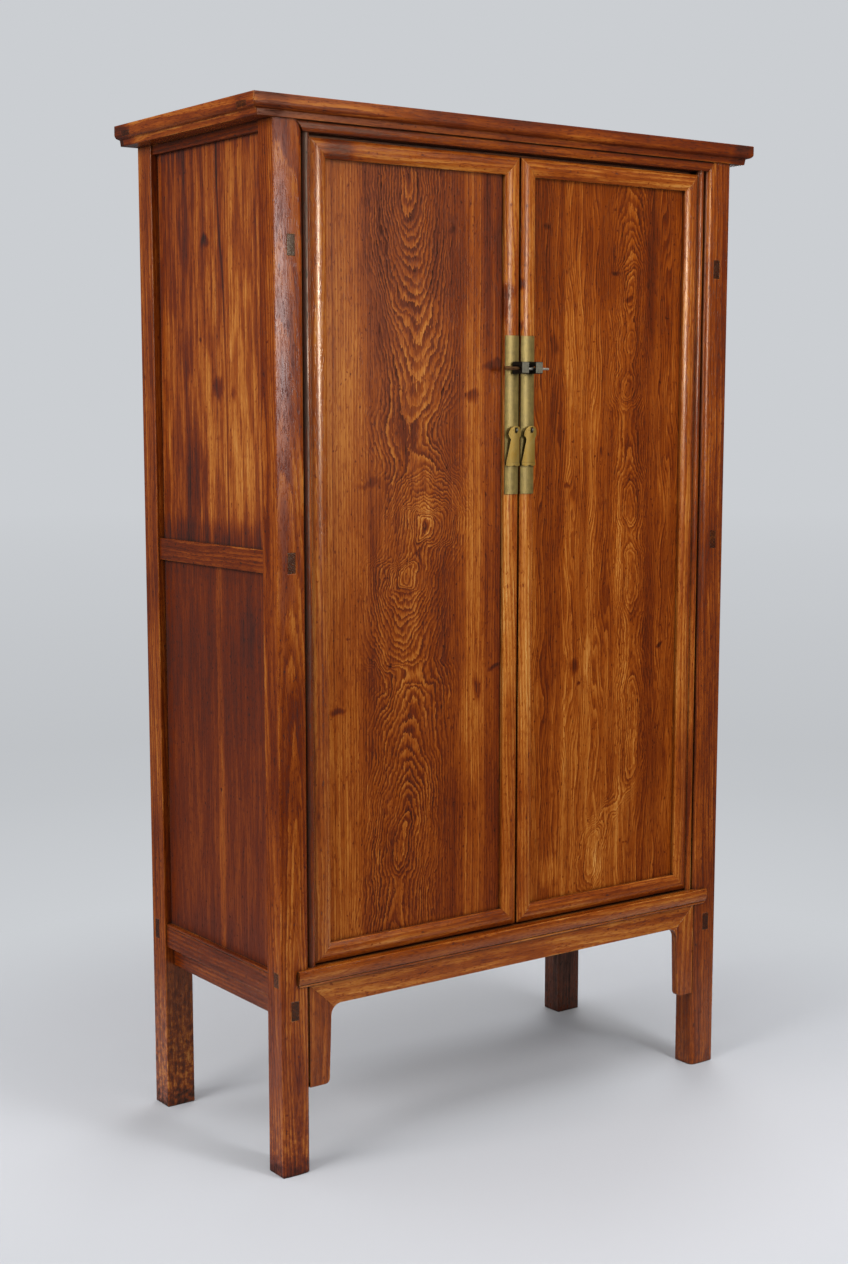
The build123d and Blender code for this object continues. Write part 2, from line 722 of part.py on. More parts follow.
def face_plate(x_mid, eye_x, stud):
    """Brass strip that follows the bowed stile, with a hole for the eye and the stud."""
    round_core = Circle(bow_radius + plate_seat)
    core = along_z(Pos(x_mid, door_face + bow_radius) * round_core, 0, height)
    reach = member / 2 - plate_margin
    strip = plate_band(x_mid) - core
    strip = strip & block(x_mid - reach, x_mid + reach, 0, door_back, 0, height)
    hole = block(eye_x - tang_wide / 2 - eye_hole_clear, eye_x + tang_wide / 2 + eye_hole_clear,
                 0, door_back, eye_height - tang_tall / 2 - eye_hole_clear,
                 eye_height + tang_tall / 2 + eye_hole_clear)
    return carve(strip, hole, stud)


def pull_stud(x):
    """Stud with a square shank, driven through the plate, ending in a ring for the pin."""
    side = stud_shank / 2
    ring = drum(stud_ring / 2, (x - stud_wide / 2, pivot_y, stud_height),
                (x + stud_wide / 2, pivot_y, stud_height))
    shank = block(x - side, x + side, pivot_y, door_face + stud_root,
                  stud_height - side, stud_height + side)
    edge = stud_flange / 2
    flange = block(x - edge, x + edge, plate_front - stud_flange_thick, plate_front,
                   stud_height - edge, stud_height + edge)
    bore = drum(stud_bore / 2, (x - stud_wide, pivot_y, stud_height),
                (x + stud_wide, pivot_y, stud_height))
    return ring + shank + flange - bore


def drop_pull(x):
    """Drop bowed like the plate, with round shoulders, a waist, a lipped foot, and its pin."""
    z = stud_height
    shoulder = Vector(pull_shoulder / 2, -pull_shoulder_at)
    waist = Vector(pull_waist / 2, -pull_waist_at)
    bend = (shoulder + waist) * 0.5
    foot = Vector(pull_foot / 2, -pull_long)
    side = TangentArc(shoulder, (0, pull_head), tangent=(0, 1))
    side += TangentArc(shoulder, bend, tangent=(0, -1))
    side += TangentArc(waist, bend, tangent=(0, 1))
    side += Line(waist, foot)
    side += ThreePointArc(foot, (foot.X / 2, foot.Y - lip_low), (0, foot.Y + lip_high))
    outline = make_face(side + mirror(side, Plane.YZ))
    top, low = z + 2 * pull_head, z - pull_long - 2 * lip_low
    r_back = bow_radius + plate_seat + plate_thick + pull_foot_clear
    centre = Pos(x, pivot_y + pull_thick / 2 + r_back)
    shell = along_z(centre * Circle(r_back + pull_thick), low, top)
    shell = shell + along_z(centre * Circle(r_back + pull_thick + lip_proud),
                            low, z - pull_long + lip_tall)
    shell = shell - along_z(centre * Circle(r_back), low, top)
    pull = shell & along_y(Pos(x, z) * outline, pivot_y - 2 * pull_thick, plate_front + member_bow)
    window = block(x - window_wide / 2, x + window_wide / 2, pivot_y - pull_thick,
                   pivot_y + pull_thick, z - window_down, z + window_up)
    lean = degrees(atan2(stud_reach - pull_thick / 2 - pull_foot_clear, pull_long))
    pull = Pos(0, pivot_y, z) * Rot(X=lean) * Pos(0, -pivot_y, -z) * (pull - window)
    pin = drum(stud_bore / 2 - pull_pin_clear, (x - pull_pin_long / 2, pivot_y, z),
               (x + pull_pin_long / 2, pivot_y, z))
    return Compound([carve(pull, pin), pin])


def make_door(edge, eye_in):
    """All pieces of the left door; edge is its free edge and eye_in how far in the eye is."""
    top_rail = door_rail(edge, door_top, door_top - member)
    bottom_rail = door_rail(edge, door_low, door_low + member)
    inset = member - tongue
    panel = block(door_x0 + inset, edge - inset, panel_y0, panel_y1,
                  door_low + inset, door_top - inset)
    battens = [door_batten(edge, door_low + batten_pitch * (n + 1)) for n in range(door_battens)]
    panel = carve(panel, *battens)
    x_mid = edge - member / 2
    stud = pull_stud(x_mid)
    eye = lock_eye(edge - eye_in, x_mid)
    plate = face_plate(x_mid, edge - eye_in, stud)

    upright = make_face(Polyline((door_x0, door_low), (door_x0 + member, door_low + member),
                                 (door_x0 + member, door_top - member), (door_x0, door_top),
                                 close=True))
    pivot_stile = along_z(stile_section(door_x0), door_low, door_top)
    pivot_stile = pivot_stile & along_y(upright, 0, post_deep)
    heel = block(door_x0 - bead, door_x0, hinge_y, door_back, door_low, door_top)
    corner = (door_x0 - bead, door_back, door_low)
    heel_edge = heel.edges().filter_by(Axis.Z).sort_by_distance(corner)[0]
    pivot_stile = pivot_stile + fillet(heel_edge, heel_round)
    low, high = opening_low + bead_clear, opening_top - bead_clear
    at = (-hinge_x, hinge_y)
    pivot_stile = pivot_stile + drum(bead / 2, (*at, low), (*at, high))
    pivot_stile = pivot_stile + drum(horn / 2, (*at, low - horn_long), (*at, high + horn_long))
    pivot_stile = carve(pivot_stile, top_rail, bottom_rail, panel, *battens)

    upright = make_face(Polyline((edge, door_low), (edge - member, door_low + member),
                                 (edge - member, door_top - member), (edge, door_top),
                                 close=True))
    meeting_stile = along_z(stile_section(edge - member), door_low, door_top)
    meeting_stile = meeting_stile & along_y(upright, 0, post_deep)
    meeting_stile = carve(meeting_stile, top_rail, bottom_rail, panel, *battens, eye, stud)
    top_rail = carve(top_rail, panel)
    bottom_rail = carve(bottom_rail, panel)
    return {
        "door_pivot_stile": pivot_stile,
        "door_meeting_stile": meeting_stile,
        "door_top_rail": top_rail,
        "door_bottom_rail": bottom_rail,
        "door_panel": panel,
        "door_battens": Compound(battens),
        "face_plate": plate,
        "lock_eye": eye,
        "pull_stud": stud,
        "drop_pull": drop_pull(x_mid),
    }


def tapered_pin(x, length, size0, size1, z):
    """A forged pin along X from its thick end, hammered to many flats, with eased ends."""
    across = Plane(origin=(x, -pin_out, z), x_dir=(0, 1, 0), z_dir=(1, 0, 0))
    taper = degrees(atan2((size0 - size1) / 2, length))
    pin = extrude(across * RegularPolygon(size0 / 2, pin_flat_count), length, taper=taper)
    ends = pin.faces().sort_by(Axis.X)
    return chamfer(ends[0].edges() + ends[-1].edges(), pin_ease)


slot_floor = eye_height - eye_slot / 2 + pin_rest
head_tip = meeting_at - head_start
head_back = head_tip - head_long
eye_edge = left_meeting - left_eye_in - eye_wide / 2
size_at_eye = head_small + (head_big - head_small) * (head_tip - eye_edge) / head_long
lock_pin_head = tapered_pin(head_back, head_long, head_big, head_small,
                            slot_floor + size_at_eye / 2)
tail_end = meeting_at - tail_start
lock_pin_tail = tapered_pin(tail_end, tail_long, tail_size, tail_size * tail_taper,
                            slot_floor + tail_size / 2)


# Everything by name, moved so that the origin is under the middle of the whole -------------

pieces = {
    "top_frame_front": top_frame_front,
    "top_frame_rear": top_frame_rear,
    "top_panel": top_panel,
    "top_battens": top_battens,
    "front_top_rail": front_top_rail,
    "front_bottom_rail": front_bottom_rail,
    "front_apron": front_apron,
    "rear_top_rail": rear_top_rail,
    "rear_mid_rail": rear_mid_rail,
    "rear_bottom_rail": rear_bottom_rail,
    "rear_upper_panel": rear_upper_panel,
    "rear_lower_panel": rear_lower_panel,
    "floor_board": floor_board,
    "middle_shelf": middle_shelf,
    "upper_shelf": upper_shelf,
    "lock_pin_head": lock_pin_head,
    "lock_pin_tail": lock_pin_tail,
}
paired = {
    "top_frame": top_frame_left,
    "front_post": front_left_post,
    "rear_post": rear_left_post,
    "spandrel": left_spandrel,
    "side_top_rail": left_side_top_rail,
    "side_mid_rail": left_side_mid_rail,
    "side_bottom_rail": left_side_bottom_rail,
    "lower_stretcher": left_stretcher,
    "shelf_batten": left_shelf_batten,
    "upper_side_panel": left_upper_panel,
    "lower_side_panel": left_lower_panel,
}
for name, piece in paired.items():
    pieces["left_" + name] = piece
    pieces["right_" + name] = mirrored(piece)
for name, piece in make_door(left_meeting, left_eye_in).items():
    pieces["left_" + name] = piece
for name, piece in make_door(-right_meeting, right_eye_in).items():
    pieces["right_" + name] = mirrored(piece)

to_origin = Pos(0, -(eye_front + rear_edge) / 2, 0)
os.makedirs("parts", exist_ok=True)
for name, piece in pieces.items():
    export_step(to_origin * piece, f"parts/{name}.step")
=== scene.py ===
from math import radians

import bpy
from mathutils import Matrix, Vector


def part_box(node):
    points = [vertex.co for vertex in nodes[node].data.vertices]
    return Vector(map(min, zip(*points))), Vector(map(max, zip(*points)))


bl_info = {
    "name": "Wood-hinged cabinet",
    "version": (1, 0, 0),
    "blender": (4, 5, 0),
    "location": "View3D > Sidebar > Cabinet",
    "description": "Finishes of a waxed elm cabinet with pivot doors and brass metal work",
    "category": "Object",
}

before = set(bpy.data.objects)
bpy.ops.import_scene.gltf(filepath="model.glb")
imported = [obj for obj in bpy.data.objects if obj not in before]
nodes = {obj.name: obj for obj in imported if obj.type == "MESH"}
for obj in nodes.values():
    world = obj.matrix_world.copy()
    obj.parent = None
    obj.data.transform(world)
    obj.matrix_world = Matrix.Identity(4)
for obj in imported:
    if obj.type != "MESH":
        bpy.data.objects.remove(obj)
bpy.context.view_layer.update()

MM = 0.001
ACROSS, INWARD, UPWARD = 0, 1, 2      # x, y and z, the ways that a piece's grain runs


def linear(code):
    """The linear colour of an sRGB hex code such as "8b4618"."""
    parts = [int(code[n:n + 2], 16) / 255 for n in (0, 2, 4)]
    return [c / 12.92 if c <= 0.04045 else ((c + 0.055) / 1.055) ** 2.4 for c in parts]


def opaque(colour):
    """A node socket's four numbers from a three-part colour."""
    return (*colour[:3], 1.0)


# What a user may change ------------------------------------------------------

def colour_property(name, description, code):
    return bpy.props.FloatVectorProperty(
        name=name, description=description, default=linear(code), subtype="COLOR",
        size=3, min=0.0, max=1.0)


class CabinetWood(bpy.types.PropertyGroup):
    """Colours and grain of the elm."""
    # The grime colour is also the painted shade that the occlusion mask lays into corners and
    # gaps.
    grime_and_shade: colour_property("Grime", "Old dirt and lacquer in the corners", "110602")
    pore: colour_property("Pore lines", "Open pores of the early wood", "3f1305")
    deep: colour_property("Deep", "Darkest clear wood", "622305")
    middle: colour_property("Middle", "Most of the surface", "8b410c")
    light: colour_property("Light", "Late wood and worn places", "b06a27")
    gold: colour_property("Gold", "Palest streaks", "cc9652")
    dust: colour_property("Inside", "Bare wood inside the carcass", "5b3a22")
    ring_gap: bpy.props.FloatProperty(
        name="Ring spacing", description="Between two growth rings", default=5.5 * MM,
        min=1 * MM, max=30 * MM, subtype="DISTANCE", unit="LENGTH")
    relief: bpy.props.FloatProperty(
        name="Relief", description="Depth of the open pores", default=0.12 * MM,
        min=0.0, max=1 * MM, subtype="DISTANCE", unit="LENGTH")
    # This reach sets how far painted shade and dirt spread out of a corner.
    grime_and_shade_reach: bpy.props.FloatProperty(
        name="Grime reach", description="How far dirt spreads out of a corner",
        default=10 * MM, min=1 * MM, max=100 * MM, subtype="DISTANCE", unit="LENGTH")


class CabinetMetal(bpy.types.PropertyGroup):
    """Colours of the metal work."""
    brass: colour_property("Brass", "Dull olive patina", "726032")
    pull: colour_property("Pull", "Yellower cast brass of the drops", "9a7526")
    brass_rubbed: colour_property("Rubbed brass", "Where hands have polished it", "9b8448")
    # Tarnish, and painted shade in corners and under the pulls.
    brass_tarnish_and_shade: colour_property("Brass tarnish", "In corners and under the pulls", "241c0c")
    iron: colour_property("Iron", "Black forged iron", "12100e")
    # Grey of the eyes' front faces, partly wear and partly painted sheen; also the tarnish of
    # the steel pin.
    pale_iron: colour_property("Worn iron", "Grey front faces of the eyes", "6d6757")
    bronze: colour_property("Bronze", "Thick end of the lock pin", "7a5430")
    steel: colour_property("Steel", "Thin end of the lock pin", "bdb7ab")


class CabinetStudio(bpy.types.PropertyGroup):
    """Floor, light and camera."""
    backdrop: colour_property("Backdrop", "Seen behind the cabinet", "cbced2")
    floor: colour_property("Floor", "Plain pale floor", "babcc1")
    floor_glow: bpy.props.FloatProperty(
        name="Floor glow", description="Light the paper floor scatters into its shadows",
        default=0.035, min=0.0)
    fill: bpy.props.FloatProperty(
        name="Room light", description="Light from all around", default=0.24, min=0.0)
    key: bpy.props.FloatProperty(
        name="Key light", description="Soft boxes right of the front", default=48.0,
        min=0.0, subtype="POWER", unit="POWER")
    overhead: bpy.props.FloatProperty(
        name="Overhead light", description="Wide soft box above", default=150.0,
        min=0.0, subtype="POWER", unit="POWER")
    side: bpy.props.FloatProperty(
        name="Side light", description="Soft box to the left", default=135.0,
        min=0.0, subtype="POWER", unit="POWER")


# Materials -------------------------------------------------------------------

COLOUR_A, COLOUR_B, COLOUR_OUT = 6, 7, 2      # sockets of a Mix node between two colours
NUMBER_A, NUMBER_B = 2, 3                     # and of one between two numbers


def add(tree, kind, *values, out=0, named=None, stops=(), points=(), **settings):
    """Add a shader node; its values are numbers, colours or the outputs of other nodes.

    They go in the order of its sockets: place, W, scale, detail and roughness for a noise;
    place, shift, turn and scale for a mapping; the value, the range it comes from and the
    range it goes to for a map range.
    """
    node = tree.nodes.new("ShaderNode" + kind)
    for key, value in settings.items():
        setattr(node, key, value)
    for key, value in [*enumerate(values), *(named or {}).items()]:
        if isinstance(value, bpy.types.NodeSocket):
            tree.links.new(value, node.inputs[key])
        elif value is not None:
            node.inputs[key].default_value = value
    for n, (at, colour) in enumerate(stops):
        band = node.color_ramp.elements
        element = band[n] if n < 2 else band.new(at)
        element.position, element.color = at, colour
    if points:
        curve = node.mapping.curves[0]
        curve.points[0].location, curve.points[1].location = points[0], points[-1]
        for at in points[1:-1]:
            curve.points.new(*at)
        node.mapping.update()
    return node.outputs[out]


def grey(value):
    """A node socket's four numbers for a plain grey."""
    return (value, value, value, 1.0)


def fresh(name):
    """An empty material with one surface shader; returns the material, tree and shader."""
    material = bpy.data.materials.new(name)
    material.use_nodes = True
    tree = material.node_tree
    return material, tree, tree.nodes["Principled BSDF"]


def vary(tree, shader, colour, rough, bump):
    """Link what changes over the surface to its shader."""
    tree.links.new(colour, shader.inputs["Base Color"])
    tree.links.new(rough, shader.inputs["Roughness"])
    tree.links.new(bump, shader.inputs["Normal"])


def dress(node, material):
    """Give a CAD node its one material."""
    slots = nodes[node].data.materials
    slots.clear()
    slots.append(material)


def stretched(grain, across, length):
    """Scale of a pattern whose features are so many mm across and along the grain."""
    scale = [1 / (across * MM)] * 3
    scale[grain] = 1 / (length * MM)
    return scale


def even(size):
    """Scale of a pattern whose features are so many mm in every direction."""
    return 1 / (size * MM)


def off_grain(grain, first, second):
    """A vector across the grain, with nothing along it."""
    parts = [first, second]
    parts.insert(grain, 0.0)
    return parts


SEED_STEP = (0.37, 0.53, 0.71)        # metres from one piece's stretch of pattern to the next


def stretch_of(seed):
    """The shift that gives a piece its own stretch of every pattern."""
    return [seed * step for step in SEED_STEP]


def swayed(tree, tone, pattern, weight, middle=0.5):
    """Move the tone by a pattern times a weight; at its middle the pattern does nothing."""
    away = add(tree, "Math", pattern, middle, operation="SUBTRACT")
    return add(tree, "Math", away, weight, tone, operation="MULTIPLY_ADD")


def swirled(tree, place, seeded, wide, tall, detail, rough, far):
    """Bend a figure by swirls of this size, by up to half of far each way, in mm."""
    swirl = add(tree, "TexNoise", add(tree, "Mapping", seeded, None, None,
                                      stretched(UPWARD, wide, tall)), None, 1.0, detail, rough,
                out="Color")
    swirl = add(tree, "VectorMath", swirl, (0.5, 0.5, 0.5), operation="SUBTRACT")
    return add(tree, "VectorMath", swirl, [step * MM for step in far], place,
               operation="MULTIPLY_ADD")


def worn_edges(tree, radius, start, full, most):
    """A normal rounded at the edges, by a radius in mm, and a mask of their wear."""
    rounded = add(tree, "Bevel", radius * MM, samples=4)
    flat = add(tree, "NewGeometry", out="Normal")
    turn = add(tree, "VectorMath", rounded, flat, operation="DOT_PRODUCT", out="Value")
    return rounded, add(tree, "MapRange", turn, start, full, 0.0, most)


# Lightness across one growth ring, from dark open early wood to dense pale late wood.
RING = [(0.0, grey(0.1)), (0.1, grey(0.0)), (0.34, grey(0.15)), (0.56, grey(0.68)),
        (0.8, grey(0.92)), (0.94, grey(1.0)), (1.0, grey(0.1))]
POINTED = 1.8                         # 2 makes round arches, 1 makes sharp ones


def ring_tone(tree, rings):
    """The lightness across each growth ring, and one of its own for each ring."""
    band = add(tree, "ValToRGB", add(tree, "Math", rings, operation="FRACT"), stops=RING)
    whole = add(tree, "Math", rings, operation="FLOOR")
    own = add(tree, "TexWhiteNoise", named={"W": whole}, noise_dimensions="1D", out="Value")
    return band, own


SPOT_CORE = 0.25                      # share of a spot's reach that has its full strength


def spotted(tree, tone, place, spots, origin=(0, 0, 0)):
    """Darken the tone at each spot, given as its centre and reach in mm and its strength.

    A reach of 0 ignores that axis, and a strength below 0 makes a light spot.
    """
    for centre, reach, strength in spots:
        scale = [even(r) if r else 0.0 for r in reach]
        shift = [(start - at * MM) * s for start, at, s in zip(origin, centre, scale)]
        near = add(tree, "VectorMath", add(tree, "Mapping", place, shift, None, scale),
                   operation="LENGTH", out="Value")
        dark = add(tree, "MapRange", near, SPOT_CORE, 1.0, strength, 0.0,
                   interpolation_type="SMOOTHSTEP")
        tone = add(tree, "Math", tone, dark, operation="SUBTRACT")
    return tone


CLEAR, HONEY, AMBER = (1.0, 1.0, 1.0), (1.0, 0.82, 0.62), (1.0, 0.62, 0.30)   # wax on top

TINT_STEPS = (0.0, 0.22, 0.42, 0.62, 0.80, 1.0)   # lightness of the six tints
FIBRE_WEIGHT = 0.30                   # in the lightness, as are the next three
PORE_DARK = 0.14
DENT_DARK = 0.22
RUBBED_LIGHT = 0.30
# Grime and painted shade together cover this share of the colour in the deepest corner.
GRIME_AND_SHADE_COVER = 0.97                    # of the colour in the deepest corner
GRIME_MATT = 0.45                     # added to the roughness there
PORE_MATT = 0.40                      # and in the darkest wood
END_FACING = 0.8                      # a face turned this far to the grain is end grain


def elm_tints(wood):
    """The six tints of waxed wood, darkest first."""
    return (wood.grime_and_shade, wood.pore, wood.deep, wood.middle, wood.light, wood.gold)


def dusty_tints(wood):
    """The six tints of bare wood inside the carcass, darkest first."""
    return (wood.grime_and_shade, wood.pore, wood.deep, wood.dust, wood.dust, wood.middle)


def finish_wood(tree, shader, wood, place, grain, lightness, tints, rough, gloss, sheen,
                ends=True):
    """Turn lightness into colour, and add pores, worn edges, end grain, grime with painted shade
    in its corners and gaps, and wax.

    Real fibres and pores are a few tenths of a mm wide; here they are about 1.5 mm, so that
    they show.
    """
    fibre = add(tree, "TexNoise", add(tree, "Mapping", place, None, None,
                                      stretched(grain, 1.6, 60)), None, 1.0, 2.0, 0.6)
    pores = add(tree, "TexNoise", add(tree, "Mapping", place, None, None,
                                      stretched(grain, 1.5, 14)), None, 1.0, 1.0, 0.5)
    pores = add(tree, "MapRange", pores, 0.56, 0.66, 0.0, 1.0)
    dents = add(tree, "TexNoise", add(tree, "Mapping", place, None, None,
                                      stretched(grain, 5, 9)), None, 1.0, 1.0, 0.5)
    dents = add(tree, "MapRange", dents, 0.69, 0.76, 0.0, DENT_DARK)
    lightness = swayed(tree, lightness, fibre, FIBRE_WEIGHT)
    lightness = add(tree, "Math", pores, -PORE_DARK, lightness, operation="MULTIPLY_ADD")
    lightness = add(tree, "Math", lightness, dents, operation="SUBTRACT")

    rounded, edge = worn_edges(tree, 2.2, 0.995, 0.90, 1.0)
    patchy = add(tree, "TexNoise", add(tree, "Mapping", place, None, None,
                                       stretched(grain, 12, 70)), None, 1.0, 3.0, 0.6)
    rub = add(tree, "MapRange", patchy, 0.45, 0.62, 0.0, RUBBED_LIGHT)
    lightness = add(tree, "Math", edge, rub, lightness, operation="MULTIPLY_ADD")
    colour = add(tree, "ValToRGB", lightness,
                 stops=[(at, opaque(tint)) for at, tint in zip(TINT_STEPS, tints)])

    if ends:
        facing = add(tree, "SeparateXYZ", add(tree, "TexCoord", out="Normal"), out=grain)
        facing = add(tree, "Math", add(tree, "Math", facing, operation="ABSOLUTE"), END_FACING,
                     operation="GREATER_THAN")
        speck = add(tree, "TexNoise", place, None, even(1.67), 2.0, 0.6)
        speck = add(tree, "MapRange", speck, 0.4, 0.65, 0.55, 0.95)
        facing = add(tree, "Math", facing, speck, operation="MULTIPLY")
        colour = add(tree, "Mix", facing, named={COLOUR_A: colour, COLOUR_B: opaque(tints[0])},
                     out=COLOUR_OUT, data_type="RGBA")

    # Occlusion darkens corners, gaps and recesses toward the grime colour: real dirt, and
    # painted shade where shadow falls.
    open_air = add(tree, "AmbientOcclusion", None, wood.grime_and_shade_reach, out="AO", samples=6)
    dirt_and_shade = swayed(tree, open_air, patchy, weight=0.5)
    dirt_and_shade = add(tree, "MapRange", dirt_and_shade, 0.24, 0.78, GRIME_AND_SHADE_COVER, 0.0)
    colour = add(tree, "Mix", dirt_and_shade, named={COLOUR_A: colour, COLOUR_B: opaque(wood.grime_and_shade)},
                 out=COLOUR_OUT, data_type="RGBA")
    rough = swayed(tree, rough, patchy, weight=0.30, middle=0.4)
    rough = add(tree, "Math", dirt_and_shade, GRIME_MATT, rough, operation="MULTIPLY_ADD")
    rough = add(tree, "Math", rough,
                add(tree, "MapRange", lightness, 0.12, 0.40, PORE_MATT, 0.0), operation="ADD")
    bump = add(tree, "Bump", named={
        "Strength": 0.8, "Distance": wood.relief, "Normal": rounded,
        "Height": add(tree, "Math", pores, -1.0, fibre, operation="MULTIPLY_ADD")})

    vary(tree, shader, colour, rough, bump)
    shader.inputs["Specular IOR Level"].default_value = gloss
    shader.inputs["Specular Tint"].default_value = opaque(sheen)


SAWN_TONE = 0.525                     # lightness of a member before its figure
SCUFF_RISE = 0.65                     # strength of a foot's scuffs, per metre that they reach
DRIFT = 16                            # mm that the rings wander along a member


# Old elm: planed, oiled and waxed for generations. Sawn members show long pore lines that
# open into pointed arches where the saw runs along the rings, streaks of red and gold, a
# soft satin gloss, rubbed edges, and black dirt with painted shade in every corner.
def sawn_elm(context, node, grain, seed, pith=(34, 46), tilt=(1.1, 0.8), lift=0.0,
             contrast=0.16, streaks=0.55, rough=0.23, gloss=0.42, sheen=HONEY,
             tints=elm_tints, foot=0, spots=()):
    """Dress one straight member.

    pith is the heart of its tree, in mm from the member's middle, and tilt how far the
    grain runs out, in degrees; foot is how high scuffs reach, in mm.
    """
    wood = context.scene.cabinet_wood
    low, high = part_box(node)
    centre = (low + high) / 2
    material, tree, shader = fresh("waxed_elm_" + node)
    place = add(tree, "TexCoord", out="Object")
    middle = add(tree, "Mapping", place, -centre)
    seeded = add(tree, "Mapping", middle, stretch_of(seed))
    drift = add(tree, "TexNoise", add(tree, "Mapping", seeded, None, None,
                                      stretched(grain, 60, 320)), None, 1.0, 2.0, 0.5,
                out="Color")
    bent = add(tree, "VectorMath", drift, off_grain(grain, DRIFT * MM, DRIFT * MM), middle,
               operation="MULTIPLY_ADD")
    lean = off_grain(grain, radians(tilt[0]), radians(tilt[1]))
    shift = off_grain(grain, -pith[0] * MM, -pith[1] * MM)
    core = add(tree, "VectorMath", add(tree, "Mapping", bent, shift, lean),
               off_grain(grain, 1.0, 1.0), operation="MULTIPLY")
    rings = add(tree, "VectorMath", core, operation="LENGTH", out="Value")
    rings = add(tree, "Math", rings, wood.ring_gap, operation="DIVIDE")
    ragged = add(tree, "TexNoise", add(tree, "Mapping", seeded, None, None,
                                       stretched(grain, 2.4, 26)), None, 1.0, 2.0, 0.6)
    rings = add(tree, "Math", ragged, 0.5, rings, operation="MULTIPLY_ADD")
    band, own = ring_tone(tree, rings)
    streak = add(tree, "TexNoise", add(tree, "Mapping", seeded, None, None,
                                       stretched(grain, 15, 420)), None, 1.0, 3.0, 0.55)
    blotch = add(tree, "TexNoise", add(tree, "Mapping", seeded, None, None,
                                       stretched(grain, 55, 170)), None, 1.0, 4.0, 0.6)
    faded = add(tree, "MapRange", blotch, 0.35, 0.6, 0.45 * contrast, contrast)
    tone = swayed(tree, SAWN_TONE + lift, band, weight=faded, middle=0.62)
    tone = swayed(tree, tone, own, weight=0.10)
    tone = swayed(tree, tone, streak, weight=streaks)
    tone = swayed(tree, tone, blotch, weight=0.55)
    tone = spotted(tree, tone, bent, spots, origin=centre)
    if foot:
        height = add(tree, "SeparateXYZ", place, out=UPWARD)
        scuffs = add(tree, "MapRange", height, 0.0, foot * MM, SCUFF_RISE * foot * MM, 0.0)
        pits = add(tree, "TexNoise", place, None, even(10.5), 5.0, 0.7)
        pits = add(tree, "MapRange", pits, 0.40, 0.64, -1.1, 1.5)
        scuffs = add(tree, "Math", scuffs, pits, operation="MULTIPLY")
        tone = add(tree, "Math", tone, scuffs, operation="SUBTRACT")
    finish_wood(tree, shader, wood, middle, grain, tone, tints(wood), rough, gloss, sheen)
    dress(node, material)


def across_profile(tree, value, start, end, points):
    """Read a drawn profile between two places along an axis; its values are 0 to 1."""
    share = add(tree, "MapRange", value, start, end, 0.0, 1.0)
    return add(tree, "FloatCurve", 1.0, share, points=points)


def spread(points, start, end, low, high):
    """Place drawn points, in mm, into the unit square of a curve."""
    return [((at - start) / (end - start), (value - low) / (high - low))
            for at, value in sorted(points)]


